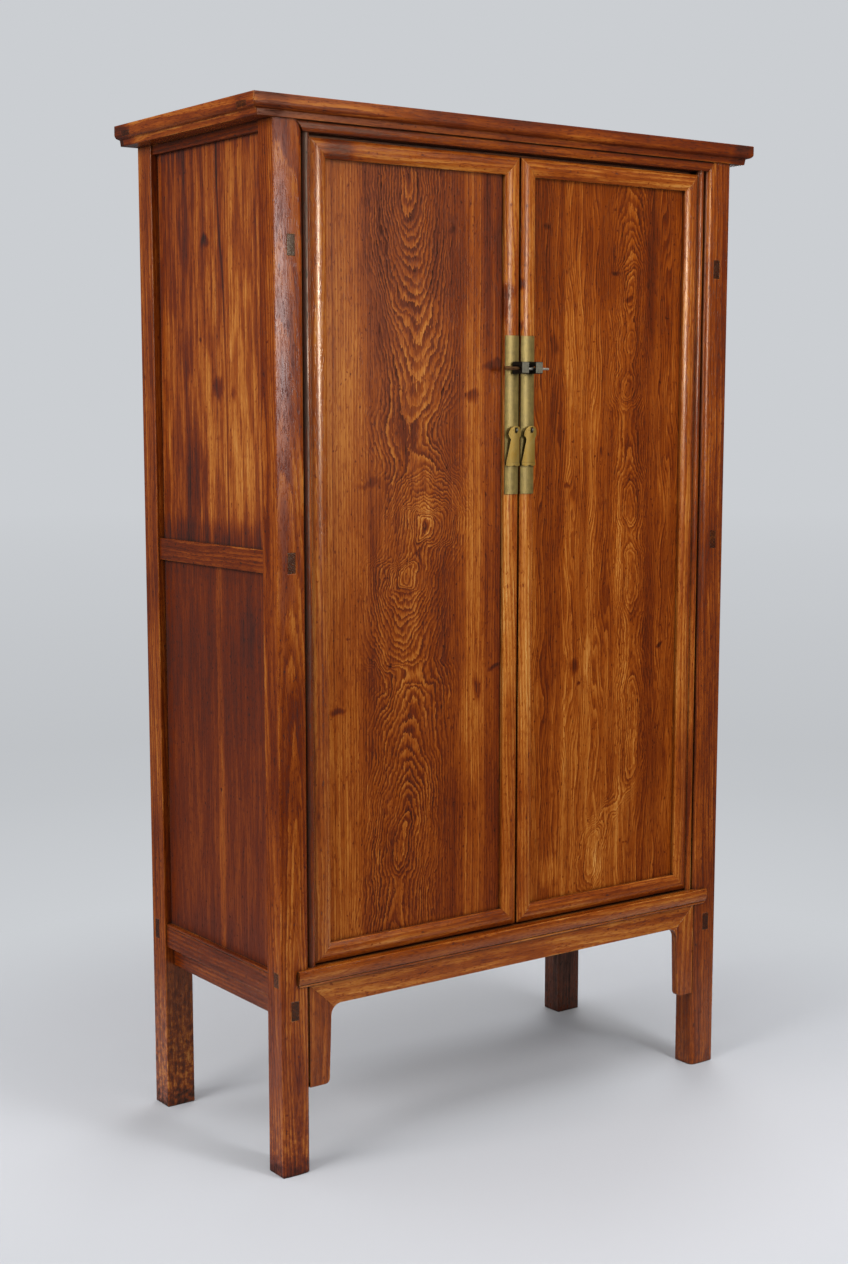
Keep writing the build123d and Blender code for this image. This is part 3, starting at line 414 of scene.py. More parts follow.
# Flat-sawn elm board: nested pointed arches and eyes down its middle, straight fine lines
# beside them, dark soft bands against orange, with feathered edges.
def figured_board(context, node, seed, heart, depth, deepest, edges, shades, ring, contrast,
                  calm, lift, wave, spots=(), rough=0.34, gloss=0.2, sheen=AMBER):
    """Dress a door panel.

    heart is the arches' centre line, in mm, and depth how many rings deep it is cut, up to
    deepest. The arches fade out between the edges, in mm from the heart; calm is the share
    of contrast beyond them, and wave how many rings the lines wander there, with the width
    and length of a wave in mm. shades are the lightness across the board, ring the ring
    spacing in mm, and each spot has its x and z, its reach and its strength.
    """
    wood = context.scene.cabinet_wood
    low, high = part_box(node)
    material, tree, shader = fresh("figured_elm_" + node)
    place = add(tree, "TexCoord", out="Object")
    x = add(tree, "SeparateXYZ", place, out=ACROSS)
    seeded = add(tree, "Mapping", place, stretch_of(seed))
    bent = swirled(tree, place, seeded, 42, 70, 2.5, 0.5, far=(28, 0, 58))
    bent_x = add(tree, "SeparateXYZ", bent, out=ACROSS)
    bent_z = add(tree, "SeparateXYZ", bent, out=UPWARD)
    bottom, top = low.z / MM, high.z / MM
    left, right = low.x / MM, high.x / MM

    centre = across_profile(tree, bent_z, low.z, high.z,
                            spread(heart, bottom, top, left, right))
    centre = add(tree, "MapRange", centre, 0.0, 1.0, low.x, high.x)
    cut = across_profile(tree, bent_z, low.z, high.z, spread(depth, bottom, top, 0, deepest))
    cut = add(tree, "Math", cut, float(deepest), operation="MULTIPLY")
    beside = add(tree, "Math", bent_x, centre, operation="SUBTRACT")
    beside = add(tree, "Math", beside, ring * MM, operation="DIVIDE")
    beside = add(tree, "Math", beside, operation="ABSOLUTE")
    rings = add(tree, "Math", add(tree, "Math", beside, POINTED, operation="POWER"),
                add(tree, "Math", cut, POINTED, operation="POWER"), operation="ADD")
    rings = add(tree, "Math", rings, 1 / POINTED, operation="POWER")
    ragged = add(tree, "TexNoise", add(tree, "Mapping", seeded, None, None,
                                       stretched(UPWARD, 3.5, 12)), None, 1.0, 2.0, 0.5)
    rings = add(tree, "Math", ragged, 1.1, rings, operation="MULTIPLY_ADD")
    band, own = ring_tone(tree, rings)

    wander, wave_wide, wave_long = wave
    waver = add(tree, "TexNoise", add(tree, "Mapping", seeded, None, None,
                                      stretched(UPWARD, wave_wide, wave_long)),
                None, 1.0, 1.5, 0.5)
    plain = add(tree, "Math", x, ring * MM, operation="DIVIDE")
    plain = add(tree, "Math", waver, wander, plain, operation="MULTIPLY_ADD")
    plain = add(tree, "Math", ragged, 0.3, plain, operation="MULTIPLY_ADD")
    plain_band, plain_own = ring_tone(tree, plain)
    aside = add(tree, "Math", add(tree, "Math", x, centre, operation="SUBTRACT"),
                operation="ABSOLUTE")
    inside = add(tree, "MapRange", aside, edges[0] * MM, edges[1] * MM, 1.0, 0.0,
                 interpolation_type="SMOOTHSTEP")
    band = add(tree, "Mix", inside, named={NUMBER_A: plain_band, NUMBER_B: band},
               data_type="FLOAT")
    own = add(tree, "Mix", inside, named={NUMBER_A: plain_own, NUMBER_B: own},
              data_type="FLOAT")

    strength = add(tree, "MapRange", inside, 0.0, 1.0, calm * contrast, contrast)
    worn = add(tree, "TexNoise", add(tree, "Mapping", seeded, None, None,
                                     stretched(UPWARD, 40, 90)), None, 1.0, 3.0, 0.6)
    worn = add(tree, "MapRange", worn, 0.36, 0.60, 0.5, 1.05)
    strength = add(tree, "Math", strength, worn, operation="MULTIPLY")
    streak = add(tree, "TexNoise", add(tree, "Mapping", seeded, None, None,
                                       stretched(UPWARD, 16, 500)), None, 1.0, 3.0, 0.6)
    blotch = add(tree, "TexNoise", add(tree, "Mapping", seeded, None, None,
                                       stretched(UPWARD, 70, 200)), None, 1.0, 4.0, 0.6)
    shade = across_profile(tree, x, low.x, high.x, spread(shades, left, right, 0, 1))
    tone = add(tree, "Math", shade, lift, operation="ADD")
    tone = swayed(tree, tone, band, weight=strength, middle=0.55)
    tone = swayed(tree, tone, own, weight=0.11)
    tone = swayed(tree, tone, streak, weight=0.42)
    tone = swayed(tree, tone, blotch, weight=0.40)
    tone = spotted(tree, tone, bent, [((at_x, 0, at_z), (wide, 0, tall), dark)
                                      for (at_x, at_z), (wide, tall), dark in spots])
    finish_wood(tree, shader, wood, place, UPWARD, tone, elm_tints(wood), rough, gloss,
                sheen, ends=False)
    dress(node, material)


SIDE_RING = 1.5                       # ring spacing of the side boards, over the members'
SPLIT_DARK = 0.30                     # where the two boards of a side meet


# Softer boards of the sides: orange where the finish is worn through, brown where old
# lacquer and handling have stayed, with dark smears down the grain.
def stained_board(context, node, seed, shades, levels, contrast, lift, spots=(), split=(),
                  rough=0.38, gloss=0.32):
    """Dress a side panel.

    shades are its lightness from front to back and levels from foot to top; split is the
    line where its boards meet, as z and y in mm; each spot has its y and z, its reach and
    its strength.
    """
    wood = context.scene.cabinet_wood
    low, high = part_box(node)
    material, tree, shader = fresh("stained_elm_" + node)
    place = add(tree, "TexCoord", out="Object")
    y = add(tree, "SeparateXYZ", place, out=INWARD)
    z = add(tree, "SeparateXYZ", place, out=UPWARD)
    seeded = add(tree, "Mapping", place, stretch_of(seed))
    bent = swirled(tree, place, seeded, 45, 110, 3.0, 0.55, far=(0, 16, 60))
    bent_y = add(tree, "SeparateXYZ", bent, out=INWARD)
    rings = add(tree, "Math", bent_y, wood.ring_gap * SIDE_RING, operation="DIVIDE")
    band, own = ring_tone(tree, rings)
    streak = add(tree, "TexNoise", add(tree, "Mapping", seeded, None, None,
                                       stretched(UPWARD, 6, 130)), None, 1.0, 4.0, 0.65)
    smear = add(tree, "TexNoise", add(tree, "Mapping", seeded, None, None,
                                      stretched(UPWARD, 19, 170)), None, 1.0, 5.0, 0.62)
    smear = add(tree, "MapRange", smear, 0.40, 0.60, -1.0, 1.0, interpolation_type="SMOOTHSTEP")
    bottom, top = low.z / MM, high.z / MM
    front, back = low.y / MM, high.y / MM
    shade = across_profile(tree, y, low.y, high.y, spread(shades, front, back, 0, 1))
    level = across_profile(tree, z, low.z, high.z, spread(levels, bottom, top, 0, 1))
    tone = swayed(tree, shade, level, weight=1.0, middle=0.5 - lift)
    tone = swayed(tree, tone, band, weight=0.26 * contrast, middle=0.55)
    tone = swayed(tree, tone, own, weight=0.3 * contrast)
    tone = swayed(tree, tone, streak, weight=contrast)
    tone = add(tree, "Math", smear, 0.34 * contrast, tone, operation="MULTIPLY_ADD")
    tone = spotted(tree, tone, bent, [((0, at_y, at_z), (0, deep, tall), dark)
                                      for (at_y, at_z), (deep, tall), dark in spots])
    if split:
        line = across_profile(tree, z, low.z, high.z, spread(split, bottom, top, front, back))
        line = add(tree, "MapRange", line, 0.0, 1.0, low.y, high.y)
        gap = add(tree, "Math", add(tree, "Math", y, line, operation="SUBTRACT"),
                  operation="ABSOLUTE")
        crack = add(tree, "MapRange", gap, 1.0 * MM, 5 * MM, SPLIT_DARK, 0.0)
        tone = add(tree, "Math", tone, crack, operation="SUBTRACT")
    finish_wood(tree, shader, wood, place, UPWARD, tone, elm_tints(wood), rough, gloss,
                CLEAR, ends=False)
    dress(node, material)


# Sheet brass, hammered and filed: dull olive patina that hands have rubbed paler at the
# rims, faint upright scratches, brown tarnish with painted shade round the fittings and
# under the pulls, and cut edges that face sideways darkened as tarnish and painted shadow.
# Real scratches are a tenth of a mm wide; here they are 0.9 mm, so that they show.
def aged_brass(context, name, bare):
    """The brass of the plates or of the pulls, by its bare colour."""
    metal = context.scene.cabinet_metal
    material, tree, shader = fresh(name)
    place = add(tree, "TexCoord", out="Object")
    scratch = add(tree, "TexNoise", add(tree, "Mapping", place, None, None,
                                        stretched(UPWARD, 0.9, 30)), None, 1.0, 2.0, 0.6)
    cloud = add(tree, "TexNoise", place, None, even(11.1), 4.0, 0.65)
    rounded, rub = worn_edges(tree, 0.9, 0.99, 0.85, 0.8)
    mottle = add(tree, "Math", scratch, 0.5, cloud, operation="MULTIPLY_ADD")
    mottle = add(tree, "MapRange", mottle, 0.55, 0.95, 0.0, 0.7)
    share = add(tree, "Math", rub, mottle, operation="MAXIMUM")
    colour = add(tree, "Mix", share, out=COLOUR_OUT, data_type="RGBA",
                 named={COLOUR_A: opaque(bare), COLOUR_B: opaque(metal.brass_rubbed)})
    # Occlusion darkens the brass round the fittings, under the pulls and between the plates:
    # tarnish, and painted contact shadow.
    open_air = add(tree, "AmbientOcclusion", None, 5 * MM, out="AO", samples=6)
    dirt_and_shade = add(tree, "MapRange", open_air, 0.35, 0.85, 0.95, 0.0)
    # Cut edges that face sideways are darkened too: tarnish, and a painted shadow line beside
    # the pulls.
    sideways = add(tree, "SeparateXYZ", add(tree, "TexCoord", out="Normal"), out=ACROSS)
    sideways = add(tree, "Math", sideways, operation="ABSOLUTE")
    sideways = add(tree, "MapRange", sideways, 0.72, 0.9, 0.0, 0.95)
    dirt_and_shade = add(tree, "Math", dirt_and_shade, sideways, operation="MAXIMUM")
    colour = add(tree, "Mix", dirt_and_shade, out=COLOUR_OUT, data_type="RGBA",
                 named={COLOUR_A: colour, COLOUR_B: opaque(metal.brass_tarnish_and_shade)})
    rough = add(tree, "Math", cloud, 0.25, 0.34, operation="MULTIPLY_ADD")
    bump = add(tree, "Bump", named={"Strength": 0.35, "Distance": 0.05 * MM, "Height": scratch,
                                    "Normal": rounded})
    vary(tree, shader, colour, rough, bump)
    shader.inputs["Metallic"].default_value = 0.55
    return material


# Wrought iron, forged and blackened: rough black sides with the hammer's dimples, partly
# painted shade, and front faces a dull grey, partly worn and partly a painted sheen.
def forged_iron(context):
    """The iron of the lock eyes and the pull studs."""
    metal = context.scene.cabinet_metal
    material, tree, shader = fresh("blackened_iron")
    place = add(tree, "TexCoord", out="Object")
    cloud = add(tree, "TexNoise", place, None, even(3.85), 4.0, 0.6)
    # Faces turned to the front are painted pale, for wear and for the sheen of the light on
    # them; the rest stay black, partly as painted shade.
    facing = add(tree, "SeparateXYZ", add(tree, "TexCoord", out="Normal"), out=INWARD)
    front = add(tree, "MapRange", facing, -0.70, -0.98, 0.0, 1.0)
    front = add(tree, "Math", front, add(tree, "MapRange", cloud, 0.35, 0.6, 0.65, 1.0),
                operation="MULTIPLY")
    colour = add(tree, "Mix", front, out=COLOUR_OUT, data_type="RGBA",
                 named={COLOUR_A: opaque(metal.iron), COLOUR_B: opaque(metal.pale_iron)})
    rounded = add(tree, "Bevel", 0.7 * MM, samples=4)
    rough = add(tree, "Math", cloud, 0.3, 0.38, operation="MULTIPLY_ADD")
    bump = add(tree, "Bump", named={"Strength": 0.6, "Distance": 0.3 * MM, "Height": cloud,
                                    "Normal": rounded})
    vary(tree, shader, colour, rough, bump)
    shader.inputs["Metallic"].default_value = 0.6
    return material


# Drawn and hammered rod: bronze gone brown, or steel rubbed pale along its length.
def rod_metal(name, bare, tarnish):
    """The metal of one end of the lock pin, by its bare and its tarnished colour."""
    material, tree, shader = fresh(name)
    place = add(tree, "TexCoord", out="Object")
    draw = add(tree, "TexNoise", add(tree, "Mapping", place, None, None,
                                     stretched(ACROSS, 1.5, 9)), None, 1.0, 4.0, 0.65)
    share = add(tree, "MapRange", draw, 0.40, 0.66, 0.0, 0.9)
    colour = add(tree, "Mix", share, named={COLOUR_A: opaque(bare), COLOUR_B: opaque(tarnish)},
                 out=COLOUR_OUT, data_type="RGBA")
    rough = add(tree, "Math", draw, 0.4, 0.22, operation="MULTIPLY_ADD")
    bump = add(tree, "Bump", named={"Strength": 0.5, "Distance": 0.25 * MM, "Height": draw})
    vary(tree, shader, colour, rough, bump)
    shader.inputs["Metallic"].default_value = 0.8
    return material


# Operators -------------------------------------------------------------------

SIDES = ("left", "right")
BEAD = 15                             # diameter of the pivot bead, in mm

# How the frames of the doors differ: the left bead shines most, its top rail has a dark old
# patch, and hands have stained the meeting stiles beside the plates. The bead entry is how
# much darker the pivot bead is drawn.
DOOR_WEAR = {
    "left": {"lift": 0.13, "gloss": 0.85, "bead": 0.34, "rail": 0.15,
             "patch": [((-372, 0, 1700), (40, 0, 0), 0.24)],
             "stains": [((-30, 0, 1468), (26, 0, 50), 0.36), ((-12, 0, 1490), (20, 0, 20), 0.20),
                        ((-24, 0, 950), (50, 0, 400), -0.10)]},
    "right": {"lift": 0.18, "gloss": 0.45, "bead": 0.16, "rail": 0.10,
              "patch": [],
              "stains": [((14, 0, 1503), (14, 0, 15), 0.42), ((12, 0, 1430), (13, 0, 13), 0.38),
                         ((4, 0, 1600), (12, 0, 110), 0.24),
                         ((24, 0, 950), (50, 0, 400), -0.08)]},
}


class CABINET_OT_posts(bpy.types.Operator):
    """Dress the four posts"""
    bl_idname = "cabinet.posts"
    bl_label = "Posts"

    def execute(self, context):
        sawn_elm(context, "left_front_post", UPWARD, seed=3, pith=(4, 10), tilt=(2.4, 0.5),
                 lift=0.03, contrast=0.20, streaks=0.36, gloss=0.22, sheen=CLEAR, foot=160,
                 spots=[((0, 0, 0), (0, 0, 40), 0.20), ((0, 0, 1180), (0, 0, 100), -0.06)])
        sawn_elm(context, "right_front_post", UPWARD, seed=8, pith=(-60, 42), tilt=(0.5, 1.0),
                 foot=100)
        sawn_elm(context, "left_rear_post", UPWARD, seed=5, pith=(40, -50), tilt=(0.8, 0.7),
                 lift=0.03, foot=340, spots=[((0, 0, 0), (0, 0, 50), 0.22)])
        sawn_elm(context, "right_rear_post", UPWARD, seed=13, pith=(-44, -40), lift=-0.20,
                 foot=120)
        return {"FINISHED"}


class CABINET_OT_rails(bpy.types.Operator):
    """Dress the carcass rails, stretchers, apron and spandrels"""
    bl_idname = "cabinet.rails"
    bl_label = "Rails and apron"

    def execute(self, context):
        sawn_elm(context, "front_top_rail", ACROSS, seed=21, lift=-0.03)
        sawn_elm(context, "front_bottom_rail", ACROSS, seed=22, pith=(50, 40), lift=0.11,
                 streaks=0.45)
        sawn_elm(context, "front_apron", ACROSS, seed=23, pith=(70, 25), lift=0.17)
        for n, side in enumerate(SIDES):
            sawn_elm(context, side + "_spandrel", UPWARD, seed=25 + n, pith=(40, 60), lift=0.10)
            sawn_elm(context, side + "_side_top_rail", INWARD, seed=30 + n, lift=-0.14)
            sawn_elm(context, side + "_side_mid_rail", INWARD, seed=32 + n, lift=-0.05)
            sawn_elm(context, side + "_side_bottom_rail", INWARD, seed=34 + n, lift=-0.05)
            sawn_elm(context, side + "_lower_stretcher", INWARD, seed=36 + n, lift=-0.12)
            sawn_elm(context, side + "_shelf_batten", INWARD, seed=38 + n, tints=dusty_tints)
        for n, name in enumerate(("rear_top_rail", "rear_mid_rail", "rear_bottom_rail")):
            sawn_elm(context, name, ACROSS, seed=40 + n, lift=-0.16)
        return {"FINISHED"}


class CABINET_OT_top(bpy.types.Operator):
    """Dress the framed top"""
    bl_idname = "cabinet.top"
    bl_label = "Top"

    def execute(self, context):
        sawn_elm(context, "top_frame_front", ACROSS, seed=51, pith=(60, 60), streaks=0.45,
                 rough=0.34, gloss=0.25,
                 spots=[((-510, 0, 1760), (40, 0, 0), 0.14), ((515, 0, 1760), (30, 0, 0), 0.16)])
        sawn_elm(context, "top_frame_rear", ACROSS, seed=52, pith=(60, 60), lift=-0.08)
        for n, side in enumerate(SIDES):
            sawn_elm(context, side + "_top_frame", INWARD, seed=53 + n, pith=(60, 50), lift=0.09,
                     contrast=0.12, streaks=0.40,
                     spots=[((0, -200, 1760), (0, 50, 0), 0.18),
                            ((0, 220, 1760), (0, 45, 0), 0.22)])
        sawn_elm(context, "top_panel", ACROSS, seed=55, pith=(20, 90), lift=-0.10)
        sawn_elm(context, "top_battens", INWARD, seed=56, tints=dusty_tints)
        return {"FINISHED"}


class CABINET_OT_door_frames(bpy.types.Operator):
    """Dress the mitred frames and inner battens of the doors"""
    bl_idname = "cabinet.door_frames"
    bl_label = "Door frames"

    def execute(self, context):
        for n, side in enumerate(SIDES):
            wear = DOOR_WEAR[side]
            door = side + "_door_"
            low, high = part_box(door + "pivot_stile")
            bead_at = low.x / MM + BEAD / 2 if side == "left" else high.x / MM - BEAD / 2
            sawn_elm(context, door + "pivot_stile", UPWARD, seed=61 + n, pith=(48, 30),
                     lift=wear["lift"], contrast=0.18, rough=0.20, gloss=wear["gloss"],
                     spots=[((bead_at, 0, 0), (BEAD, 0, 0), wear["bead"])])
            sawn_elm(context, door + "meeting_stile", UPWARD, seed=63 + n, pith=(-40, 34),
                     lift=0.17, contrast=0.18, gloss=0.32, spots=wear["stains"])
            sawn_elm(context, door + "top_rail", ACROSS, seed=65 + n, pith=(34, 44),
                     lift=wear["rail"], contrast=0.18, spots=wear["patch"])
            sawn_elm(context, door + "bottom_rail", ACROSS, seed=67 + n, pith=(34, 44),
                     lift=0.08)
            sawn_elm(context, door + "battens", ACROSS, seed=69 + n, tints=dusty_tints)
        return {"FINISHED"}


class CABINET_OT_door_panels(bpy.types.Operator):
    """Dress the two figured door panels"""
    bl_idname = "cabinet.door_panels"
    bl_label = "Door panels"

    def execute(self, context):
        figured_board(
            context, "left_door_panel", seed=4,
            heart=[(385, -258), (480, -248), (540, -242), (600, -233), (735, -226),
                   (780, -220), (830, -213), (860, -230), (900, -238), (950, -233),
                   (1005, -230), (1045, -208), (1083, -192), (1150, -196), (1200, -210),
                   (1250, -232), (1300, -214), (1400, -208), (1500, -218), (1600, -226),
                   (1700, -226)],
            depth=[(385, 4), (440, 5), (465, 5), (490, 3.5), (520, 2), (560, 2), (600, 4),
                   (650, 6.5), (700, 9), (750, 11), (800, 13), (835, 15), (860, 13),
                   (900, 10), (945, 6.5), (975, 3.5), (995, 1), (1015, 1), (1045, 4.5),
                   (1070, 1.5), (1095, 1.5), (1120, 7), (1160, 13), (1200, 17), (1250, 17.5),
                   (1300, 16), (1350, 15), (1400, 13.5), (1450, 11.5), (1500, 9), (1550, 6.5),
                   (1600, 4), (1640, 2.2), (1700, 0.8)],
            deepest=24, edges=(50, 128),
            shades=[(-405, 0.56), (-385, 0.62), (-340, 0.62), (-326, 0.60), (-312, 0.48),
                    (-260, 0.48), (-200, 0.50), (-160, 0.46), (-120, 0.50), (-100, 0.60),
                    (-75, 0.60), (-60, 0.46), (-20, 0.42)],
            ring=5.5, contrast=0.35, calm=0.36, lift=0.07, wave=(3.0, 50, 500), sheen=HONEY,
            spots=[((-94, 1305), (24, 15), 0.26), ((-42, 1358), (36, 11), 0.24),
                   ((-136, 1587), (11, 8), 0.16), ((-154, 1310), (8, 9), 0.22),
                   ((-310, 1158), (34, 10), 0.16), ((-374, 785), (20, 11), 0.30),
                   ((-82, 800), (13, 30), 0.26), ((-42, 830), (18, 9), 0.28),
                   ((-262, 855), (6, 6), 0.30), ((-192, 1083), (9, 16), 0.26),
                   ((-192, 1100), (26, 60), -0.12), ((-226, 1000), (40, 30), -0.06),
                   ((-60, 1500), (40, 260), 0.06),
                   ((-220, 1700), (400, 420), 0.10), ((-220, 385), (400, 420), 0.05)])
        figured_board(
            context, "right_door_panel", seed=9,
            heart=[(385, 180), (500, 200), (600, 285), (700, 290), (900, 285), (1000, 280),
                   (1100, 278), (1200, 270), (1300, 268), (1400, 270), (1500, 272),
                   (1700, 268)],
            depth=[(385, 8), (480, 1), (540, 6), (600, 3), (660, 1), (740, 1), (800, 4),
                   (870, 5), (920, 3), (960, 1), (1010, 1), (1050, 4), (1100, 1), (1150, 3),
                   (1200, 6), (1260, 7), (1300, 4), (1330, 1), (1365, 3), (1400, 1),
                   (1440, 3), (1480, 1), (1560, 6), (1620, 9), (1700, 12)],
            deepest=16, edges=(24, 60),
            shades=[(30, 0.42), (60, 0.44), (110, 0.48), (125, 0.58), (140, 0.50),
                    (185, 0.56), (210, 0.50), (260, 0.52), (300, 0.46), (330, 0.38),
                    (360, 0.46), (400, 0.44)],
            ring=4.8, contrast=0.27, calm=0.80, lift=0.09, wave=(11.0, 38, 200),
            spots=[((230, 1537), (15, 8), 0.26), ((74, 1612), (12, 10), 0.22),
                   ((270, 1480), (16, 9), 0.24), ((90, 1400), (12, 30), 0.20),
                   ((92, 1290), (12, 70), 0.14), ((126, 1145), (7, 7), 0.24),
                   ((206, 1213), (7, 12), 0.20), ((144, 812), (13, 20), 0.26),
                   ((160, 778), (6, 6), 0.34), ((356, 845), (8, 8), 0.34),
                   ((324, 1560), (18, 190), 0.12), ((150, 1500), (16, 140), -0.12),
                   ((176, 830), (12, 60), -0.14), ((84, 440), (30, 46), -0.12),
                   ((200, 440), (22, 50), -0.12), ((292, 690), (16, 80), -0.10),
                   ((150, 1320), (20, 200), -0.06), ((220, 1700), (400, 400), 0.08),
                   ((220, 385), (400, 350), -0.05)])
        return {"FINISHED"}


class CABINET_OT_side_panels(bpy.types.Operator):
    """Dress the boards of the sides and the back"""
    bl_idname = "cabinet.side_panels"
    bl_label = "Side and back panels"

    def execute(self, context):
        for n, side in enumerate(SIDES):
            stained_board(
                context, side + "_upper_side_panel", seed=14 + n,
                shades=[(-180, 0.34), (-150, 0.52), (-60, 0.60), (0, 0.56), (60, 0.50),
                        (120, 0.42), (170, 0.50), (205, 0.34)],
                levels=[(1050, 0.30), (1085, 0.40), (1120, 0.56), (1400, 0.56),
                        (1600, 0.52), (1690, 0.46), (1735, 0.36)],
                contrast=0.32, lift=0.01,
                spots=[((30, 1565), (20, 16), 0.30), ((-10, 1325), (22, 26), 0.32),
                       ((50, 1410), (7, 8), 0.30), ((-60, 1310), (12, 16), 0.16),
                       ((80, 1180), (60, 110), 0.22), ((95, 1380), (20, 60), 0.16)],
                split=[(1050, -37), (1290, -37), (1500, -28), (1600, -16), (1740, -12)])
            stained_board(
                context, side + "_lower_side_panel", seed=18 + n,
                shades=[(-180, 0.40), (-100, 0.36), (-30, 0.36), (-14, 0.38), (-6, 0.52),
                        (4, 0.52), (14, 0.36), (90, 0.36), (150, 0.34), (205, 0.26)],
                levels=[(340, 0.38), (400, 0.48), (600, 0.50), (800, 0.42), (900, 0.42),
                        (1000, 0.44), (1030, 0.36)],
                contrast=0.15, lift=0.09,
                spots=[((-100, 920), (40, 90), 0.10), ((0, 630), (5, 5), 0.35)])
        for name in ("rear_upper_panel", "rear_lower_panel"):
            sawn_elm(context, name, UPWARD, seed=16, rough=0.55, tints=dusty_tints)
        return {"FINISHED"}


class CABINET_OT_inside(bpy.types.Operator):
    """Dress the shelves and floor inside"""
    bl_idname = "cabinet.inside"
    bl_label = "Inside boards"

    def execute(self, context):
        for n, name in enumerate(("floor_board", "middle_shelf", "upper_shelf")):
            sawn_elm(context, name, ACROSS, seed=80 + n, pith=(30, 70), rough=0.60,
                     tints=dusty_tints)
        return {"FINISHED"}


class CABINET_OT_metalwork(bpy.types.Operator):
    """Dress the face plates, pulls, studs, lock eyes and lock pin"""
    bl_idname = "cabinet.metalwork"
    bl_label = "Metal work"

    def execute(self, context):
        metal = context.scene.cabinet_metal
        plate = aged_brass(context, "olive_sheet_brass", metal.brass)
        pull = aged_brass(context, "yellow_cast_brass", metal.pull)
        iron = forged_iron(context)
        for side in SIDES:
            dress(side + "_face_plate", plate)
            dress(side + "_drop_pull", pull)
            dress(side + "_lock_eye", iron)
            dress(side + "_pull_stud", iron)
        dress("lock_pin_head", rod_metal("brown_bronze", metal.bronze, metal.iron))
        dress("lock_pin_tail", rod_metal("rubbed_steel", metal.steel, metal.pale_iron))
        return {"FINISHED"}


# Camera and studio, in metres and degrees ------------------------------------

CAMERA_AT = (-2.0891, -2.8103, 1.2931)
CAMERA_DOWN, CAMERA_RIGHT = 7.71, 35.97       # below level, and right of straight ahead
IMAGE_TALL = 1264                             # pixels of the picture's height
FOCAL = 1885                                  # focal length, in the same pixels
SHIFT = (-0.8, 28.9)                          # from the lens axis to its middle, in them
FILM_TALL = 36.0                              # mm

FLOOR_RADIUS = 60.0
FADE_START, FADE_END = 0.8, 1.5               # the floor's own shading gives way to the sweep
SWEEP_END = 20.0
# Brightness of the paper sweep from FADE_END to SWEEP_END, as shares of the backdrop's.
SWEEP = ((0.0, 1.0), (0.04, 0.95), (0.08, 0.90), (0.13, 0.88), (0.2, 0.90), (0.42, 0.94),
         (1.0, 1.0))

HALF_WAY_UP = (0, 0, 0.9)                     # where most soft boxes aim
COOL, PLAIN, WARM = (0.96, 0.98, 1), (1, 1, 1), (1, 0.99, 0.97)
STRIP_SHARE = 0.6                             # of the key light
BACK_SHARE = 0.36                             # of the overhead light


def set_camera(context):
    """Stand the camera to the left of the cabinet, a little above its middle."""
    lens = bpy.data.cameras.new("camera")
    camera = bpy.data.objects.new("camera", lens)
    context.scene.collection.objects.link(camera)
    camera.location = CAMERA_AT
    camera.rotation_euler = (radians(90 - CAMERA_DOWN), 0, radians(-CAMERA_RIGHT))
    lens.sensor_fit, lens.sensor_height = "VERTICAL", FILM_TALL
    lens.lens = FOCAL / IMAGE_TALL * FILM_TALL
    lens.shift_x, lens.shift_y = SHIFT[0] / IMAGE_TALL, SHIFT[1] / IMAGE_TALL
    lens.clip_end = 200
    context.scene.camera = camera


# Matt paper: pale and plain, with soft shadows near the cabinet, and farther off an even
# glow that runs into the backdrop with no horizon.
def lay_floor(context, studio):
    """Make the floor, which isn't part of the cabinet."""
    bpy.ops.mesh.primitive_circle_add(vertices=128, radius=FLOOR_RADIUS, fill_type="NGON")
    floor = context.object
    floor.name = "floor"
    material, tree, shader = fresh("matt_paper_floor")
    shader.inputs["Roughness"].default_value = 0.7
    shader.inputs["Base Color"].default_value = opaque(studio.floor)
    shader.inputs["Specular IOR Level"].default_value = 0.2
    shader.inputs["Emission Color"].default_value = grey(1.0)
    shader.inputs["Emission Strength"].default_value = studio.floor_glow
    place = add(tree, "TexCoord", out="Object")
    away = add(tree, "VectorMath", place, operation="LENGTH", out="Value")
    share = add(tree, "MapRange", away, FADE_START, FADE_END, 0.0, 1.0,
                interpolation_type="SMOOTHSTEP")
    sweep = add(tree, "ValToRGB", add(tree, "MapRange", away, FADE_END, SWEEP_END, 0.0, 1.0),
                stops=[(at, grey(level)) for at, level in SWEEP])
    seen = add(tree, "LightPath", out="Is Camera Ray")
    sweep = add(tree, "Mix", seen, named={NUMBER_A: studio.fill, NUMBER_B: sweep},
                data_type="FLOAT")
    glow = add(tree, "Emission", opaque(studio.backdrop), sweep)
    both = add(tree, "MixShader", share, shader.outputs[0], glow)
    tree.links.new(both, tree.nodes["Material Output"].inputs["Surface"])
    floor.data.materials.append(material)


def fill_room(context, studio):
    """Surround the cabinet with the backdrop, which lights it less than it shows."""
    world = bpy.data.worlds.new("studio")
    context.scene.world = world
    world.use_nodes = True
    tree = world.node_tree
    seen = add(tree, "LightPath", out="Is Camera Ray")
    strength = add(tree, "Mix", seen, named={NUMBER_A: studio.fill, NUMBER_B: 1.0},
                   data_type="FLOAT")
    back = tree.nodes["Background"]
    back.inputs["Color"].default_value = opaque(studio.backdrop)
    tree.links.new(strength, back.inputs["Strength"])


def soft_box(name, at, aim, wide, tall, power, colour):
    """A rectangular area light at a place, turned to a point."""
    data = bpy.data.lights.new(name, "AREA")
    data.shape, data.size, data.size_y = "RECTANGLE", wide, tall
    data.energy, data.color = power, colour
    light = bpy.data.objects.new(name, data)
    light.location = at
    light.rotation_euler = (Vector(aim) - Vector(at)).to_track_quat("-Z", "Y").to_euler()
    bpy.context.scene.collection.objects.link(light)


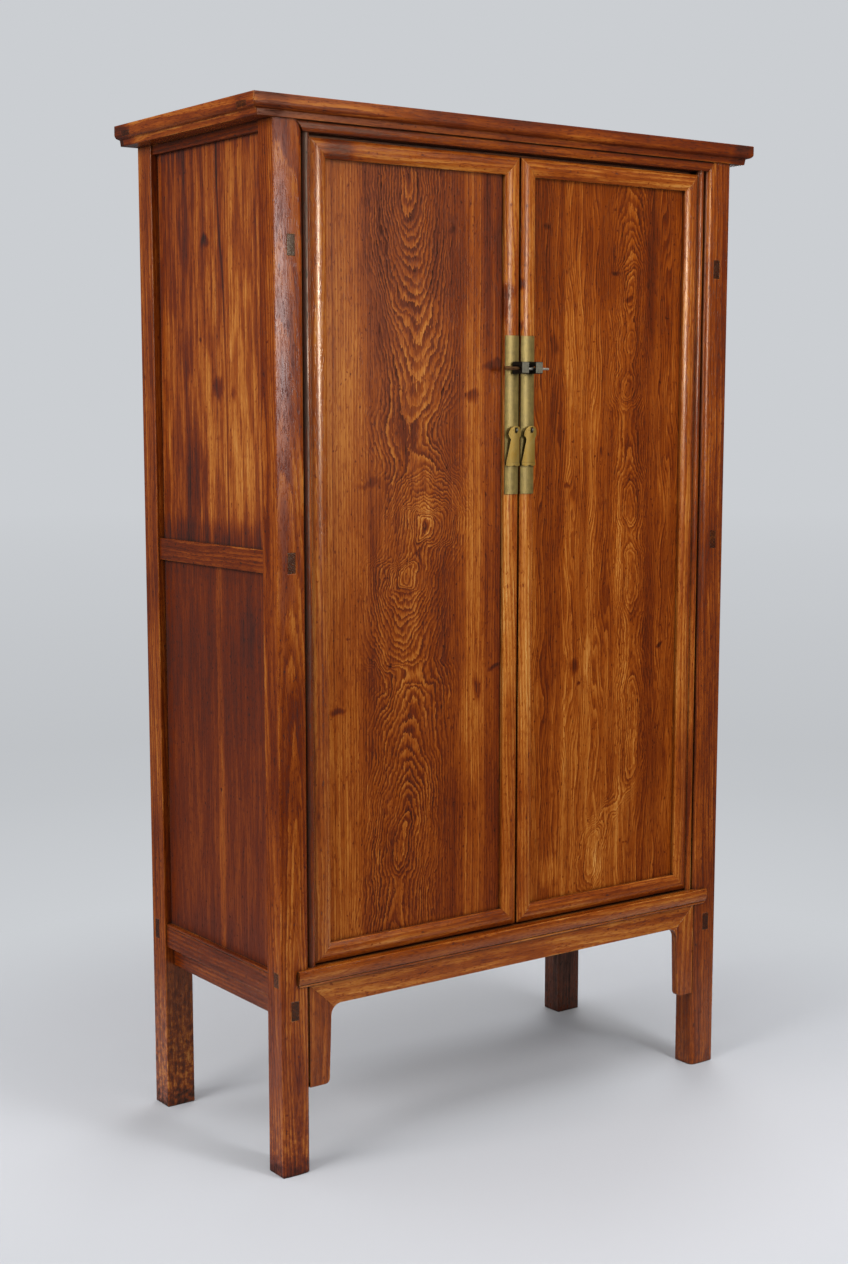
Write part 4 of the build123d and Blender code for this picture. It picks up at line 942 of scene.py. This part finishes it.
class CABINET_OT_studio(bpy.types.Operator):
    """Set up the camera, floor, backdrop and soft boxes"""
    bl_idname = "cabinet.studio"
    bl_label = "Studio"

    def execute(self, context):
        studio = context.scene.cabinet_studio
        set_camera(context)
        lay_floor(context, studio)
        fill_room(context, studio)
        soft_box("strip", (0.35, -2.4, 1.58), (0, -0.2, 1.45), 0.4, 0.62,
                 studio.key * STRIP_SHARE, COOL)
        soft_box("key", (0.7, -3.0, 3.5), HALF_WAY_UP, 1.6, 1.2, studio.key, WARM)
        soft_box("overhead", (-0.3, 0.0, 4.8), HALF_WAY_UP, 4.5, 4.0, studio.overhead, PLAIN)
        soft_box("back", (2.9, 2.6, 2.5), HALF_WAY_UP, 2.4, 2.0,
                 studio.overhead * BACK_SHARE, PLAIN)
        soft_box("left", (-3.9, -0.4, 2.3), HALF_WAY_UP, 2.2, 2.2, studio.side, WARM)
        context.scene.view_settings.view_transform = "Standard"
        return {"FINISHED"}


# Add-on ----------------------------------------------------------------------

STEPS = ("studio", "posts", "rails", "top", "door_frames", "door_panels", "side_panels",
         "inside", "metalwork")
GROUPS = {"cabinet_wood": CabinetWood, "cabinet_metal": CabinetMetal,
          "cabinet_studio": CabinetStudio}


class CABINET_PT_sidebar(bpy.types.Panel):
    """Every step of the cabinet, with its sizes and colours"""
    bl_idname = "CABINET_PT_sidebar"
    bl_label = "Wood-hinged cabinet"
    bl_space_type = "VIEW_3D"
    bl_region_type = "UI"
    bl_category = "Cabinet"

    def draw(self, context):
        layout = self.layout
        for name in GROUPS:
            values = getattr(context.scene, name)
            box = layout.box()
            for key in values.__annotations__:
                box.prop(values, key)
        for step in STEPS:
            layout.operator("cabinet." + step)


CLASSES = (*GROUPS.values(), CABINET_OT_studio, CABINET_OT_posts, CABINET_OT_rails,
           CABINET_OT_top, CABINET_OT_door_frames, CABINET_OT_door_panels,
           CABINET_OT_side_panels, CABINET_OT_inside, CABINET_OT_metalwork,
           CABINET_PT_sidebar)


def register():
    for entry in CLASSES:
        bpy.utils.register_class(entry)
    for name, group in GROUPS.items():
        setattr(bpy.types.Scene, name, bpy.props.PointerProperty(type=group))


def unregister():
    for name in GROUPS:
        delattr(bpy.types.Scene, name)
    for entry in reversed(CLASSES):
        bpy.utils.unregister_class(entry)


def main():
    """Register the add-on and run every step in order."""
    register()
    for step in STEPS:
        getattr(bpy.ops.cabinet, step)()


if __name__ == "__main__":
    main()
